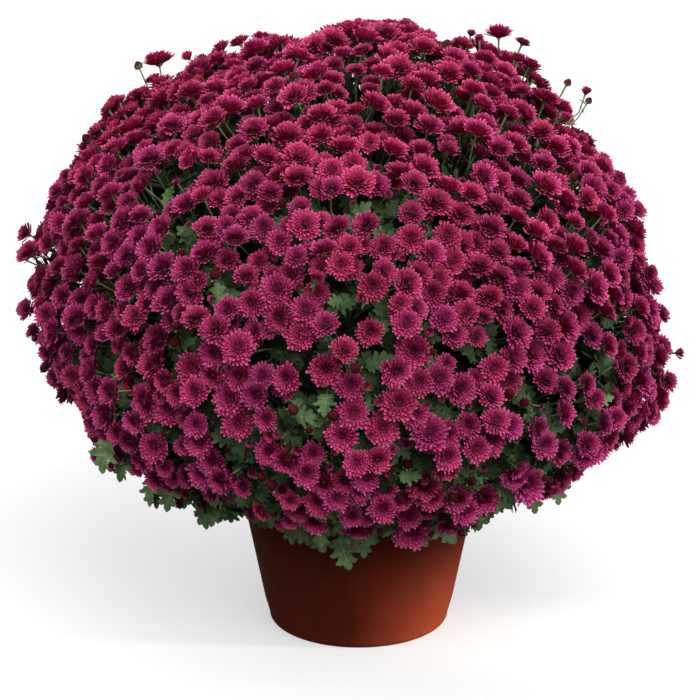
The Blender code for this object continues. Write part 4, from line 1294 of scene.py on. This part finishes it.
def arc(centre, radius, first, last, steps):
    """Points on an arc in the profile's plane, between two angles in degrees."""
    found = []
    for k in range(steps + 1):
        angle = math.radians(first + (last - first) * k / steps)
        found.append((centre[0] + radius * math.cos(angle), centre[1] + radius * math.sin(angle)))
    return found


def turned_piece(name, profile, steps):
    """A solid of revolution: its profile is drawn as a chain of edges and spun round the pot's axis."""
    mesh = bpy.data.meshes.new(name)
    mesh.from_pydata([(r, 0.0, z) for r, z in profile], [(i, i + 1) for i in range(len(profile) - 1)], [])
    piece = new_object(name, mesh)
    activate(piece)
    bpy.ops.object.mode_set(mode="EDIT")
    bpy.ops.mesh.select_all(action="SELECT")
    bpy.ops.mesh.spin(steps=steps, angle=TURN, center=(0, 0, 0), axis=(0, 0, 1))
    bpy.ops.mesh.select_all(action="SELECT")
    bpy.ops.mesh.remove_doubles(threshold=0.00001)
    bpy.ops.mesh.normals_make_consistent(inside=False)
    bpy.ops.object.mode_set(mode="OBJECT")
    bpy.ops.object.shade_smooth_by_angle(angle=SMOOTH_BELOW)
    return piece


def make_pot():
    rim_foot = POT_HEIGHT - RIM_DEPTH
    outer, inner = pot_radius(POT_HEIGHT) + RIM_PROUD, pot_radius(POT_HEIGHT) - POT_WALL
    profile = [(0, 0), (POT_BASE_RADIUS - 3 * POT_FOOT_ROUND, 0)]
    profile += arc((POT_BASE_RADIUS - POT_FOOT_ROUND, POT_FOOT_ROUND), POT_FOOT_ROUND, -90, 10, 8)
    profile += [(pot_radius(h), h) for h in POT_STATIONS]
    profile += [(pot_radius(rim_foot), rim_foot - RIM_STEP)]
    profile += [(pot_radius(rim_foot) + RIM_PROUD, rim_foot + RIM_ROUND)]
    profile += arc((outer - RIM_ROUND, POT_HEIGHT - RIM_ROUND), RIM_ROUND, 0, 90, 5)
    profile += [(inner + RIM_CHAMFER, POT_HEIGHT), (inner, POT_HEIGHT - RIM_CHAMFER)]
    profile += [(pot_radius(POT_FLOOR) - POT_WALL, POT_FLOOR), (0, POT_FLOOR)]
    pot = turned_piece("pot_turned", profile, POT_SIDES)
    pot.data.materials.append(pot_finish())
    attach(pot, "root")
    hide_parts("pot")


def make_soil():
    side = pot_radius(SOIL_TOP) - SOIL_INSET - POT_WALL
    foot = POT_FLOOR + TOUCH_GAP
    profile = [(0, foot), (pot_radius(POT_FLOOR) - SOIL_INSET - POT_WALL, foot)]
    profile += [(side - SOIL_EDGE, SOIL_TOP - SOIL_CHAMFER), (side - SOIL_CHAMFER, SOIL_TOP)]
    for k in range(1, SOIL_RINGS):
        share = k / SOIL_RINGS
        radius = (side - SOIL_CHAMFER) * (1 - share) + TRUNK_RADIUS * share
        profile.append((radius, SOIL_TOP + SOIL_RISE * share))
    profile += [(TRUNK_RADIUS + TRUNK_GAP, SOIL_TOP + SOIL_RISE), (0, SOIL_TOP + SOIL_RISE)]
    soil = turned_piece("soil_crumb", profile, SOIL_SIDES)
    for v in soil.data.vertices:
        if v.co.z > SOIL_TOP - SOIL_EDGE:
            v.co.z += CRUMB * (noise.noise(v.co * CRUMB_COUNT) + 0.5 * noise.noise(v.co * FINE_CRUMB_COUNT))
    soil.data.materials.append(soil_finish())
    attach(soil, "root")
    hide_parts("soil")


def main():
    deselect()
    add_camera()
    set_stage()
    petals, buds, leaf, stem = petal_finish(), bud_finish(), leaf_finish(), stem_finish()
    beds = plant_blooms(settled_sites())
    spots = plan_leaves(beds)
    forms = {name: bloom_form(name, *parts, petals, stem) for name, *parts in BLOOM_FORMS}
    forms["bud"] = bud_form(buds, stem)
    rng = random.Random(SEED + 5)
    leaves = [leaf_form(name, LEAF_ROWS, droop, fold, leaf, rng) for name, droop, fold in LEAF_FORMS]
    bract = leaf_form("bract", BRACT_ROWS, 0.1, 0.3, leaf, rng)
    for k, bed in enumerate(beds):
        number = f"{k + 1:02d}"
        blooms = joined(f"spray_{number}_blooms", make_blooms(bed, forms, rng))
        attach(blooms, "root")
        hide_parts(f"blooms_{number}")
        green = [make_stems(k, bed, stem, rng)]
        for place, across, face, length, shade in spots[k]:
            form = bract if length < GAP_LEAF_LENGTH[0] else rng.choice(leaves)
            green.append(set_out(form, place, across, face, length, shade=shade))
        foliage = joined(f"spray_{number}_foliage", green)
        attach(foliage, "root")
        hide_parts(f"leafy_stem_{number}")
    for form in list(forms.values()) + leaves + [bract]:
        bpy.data.objects.remove(form)
    make_pot()
    make_soil()
    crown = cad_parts["crown"]
    crown.data.materials.clear()
    crown.data.materials.append(bark_finish())


main()
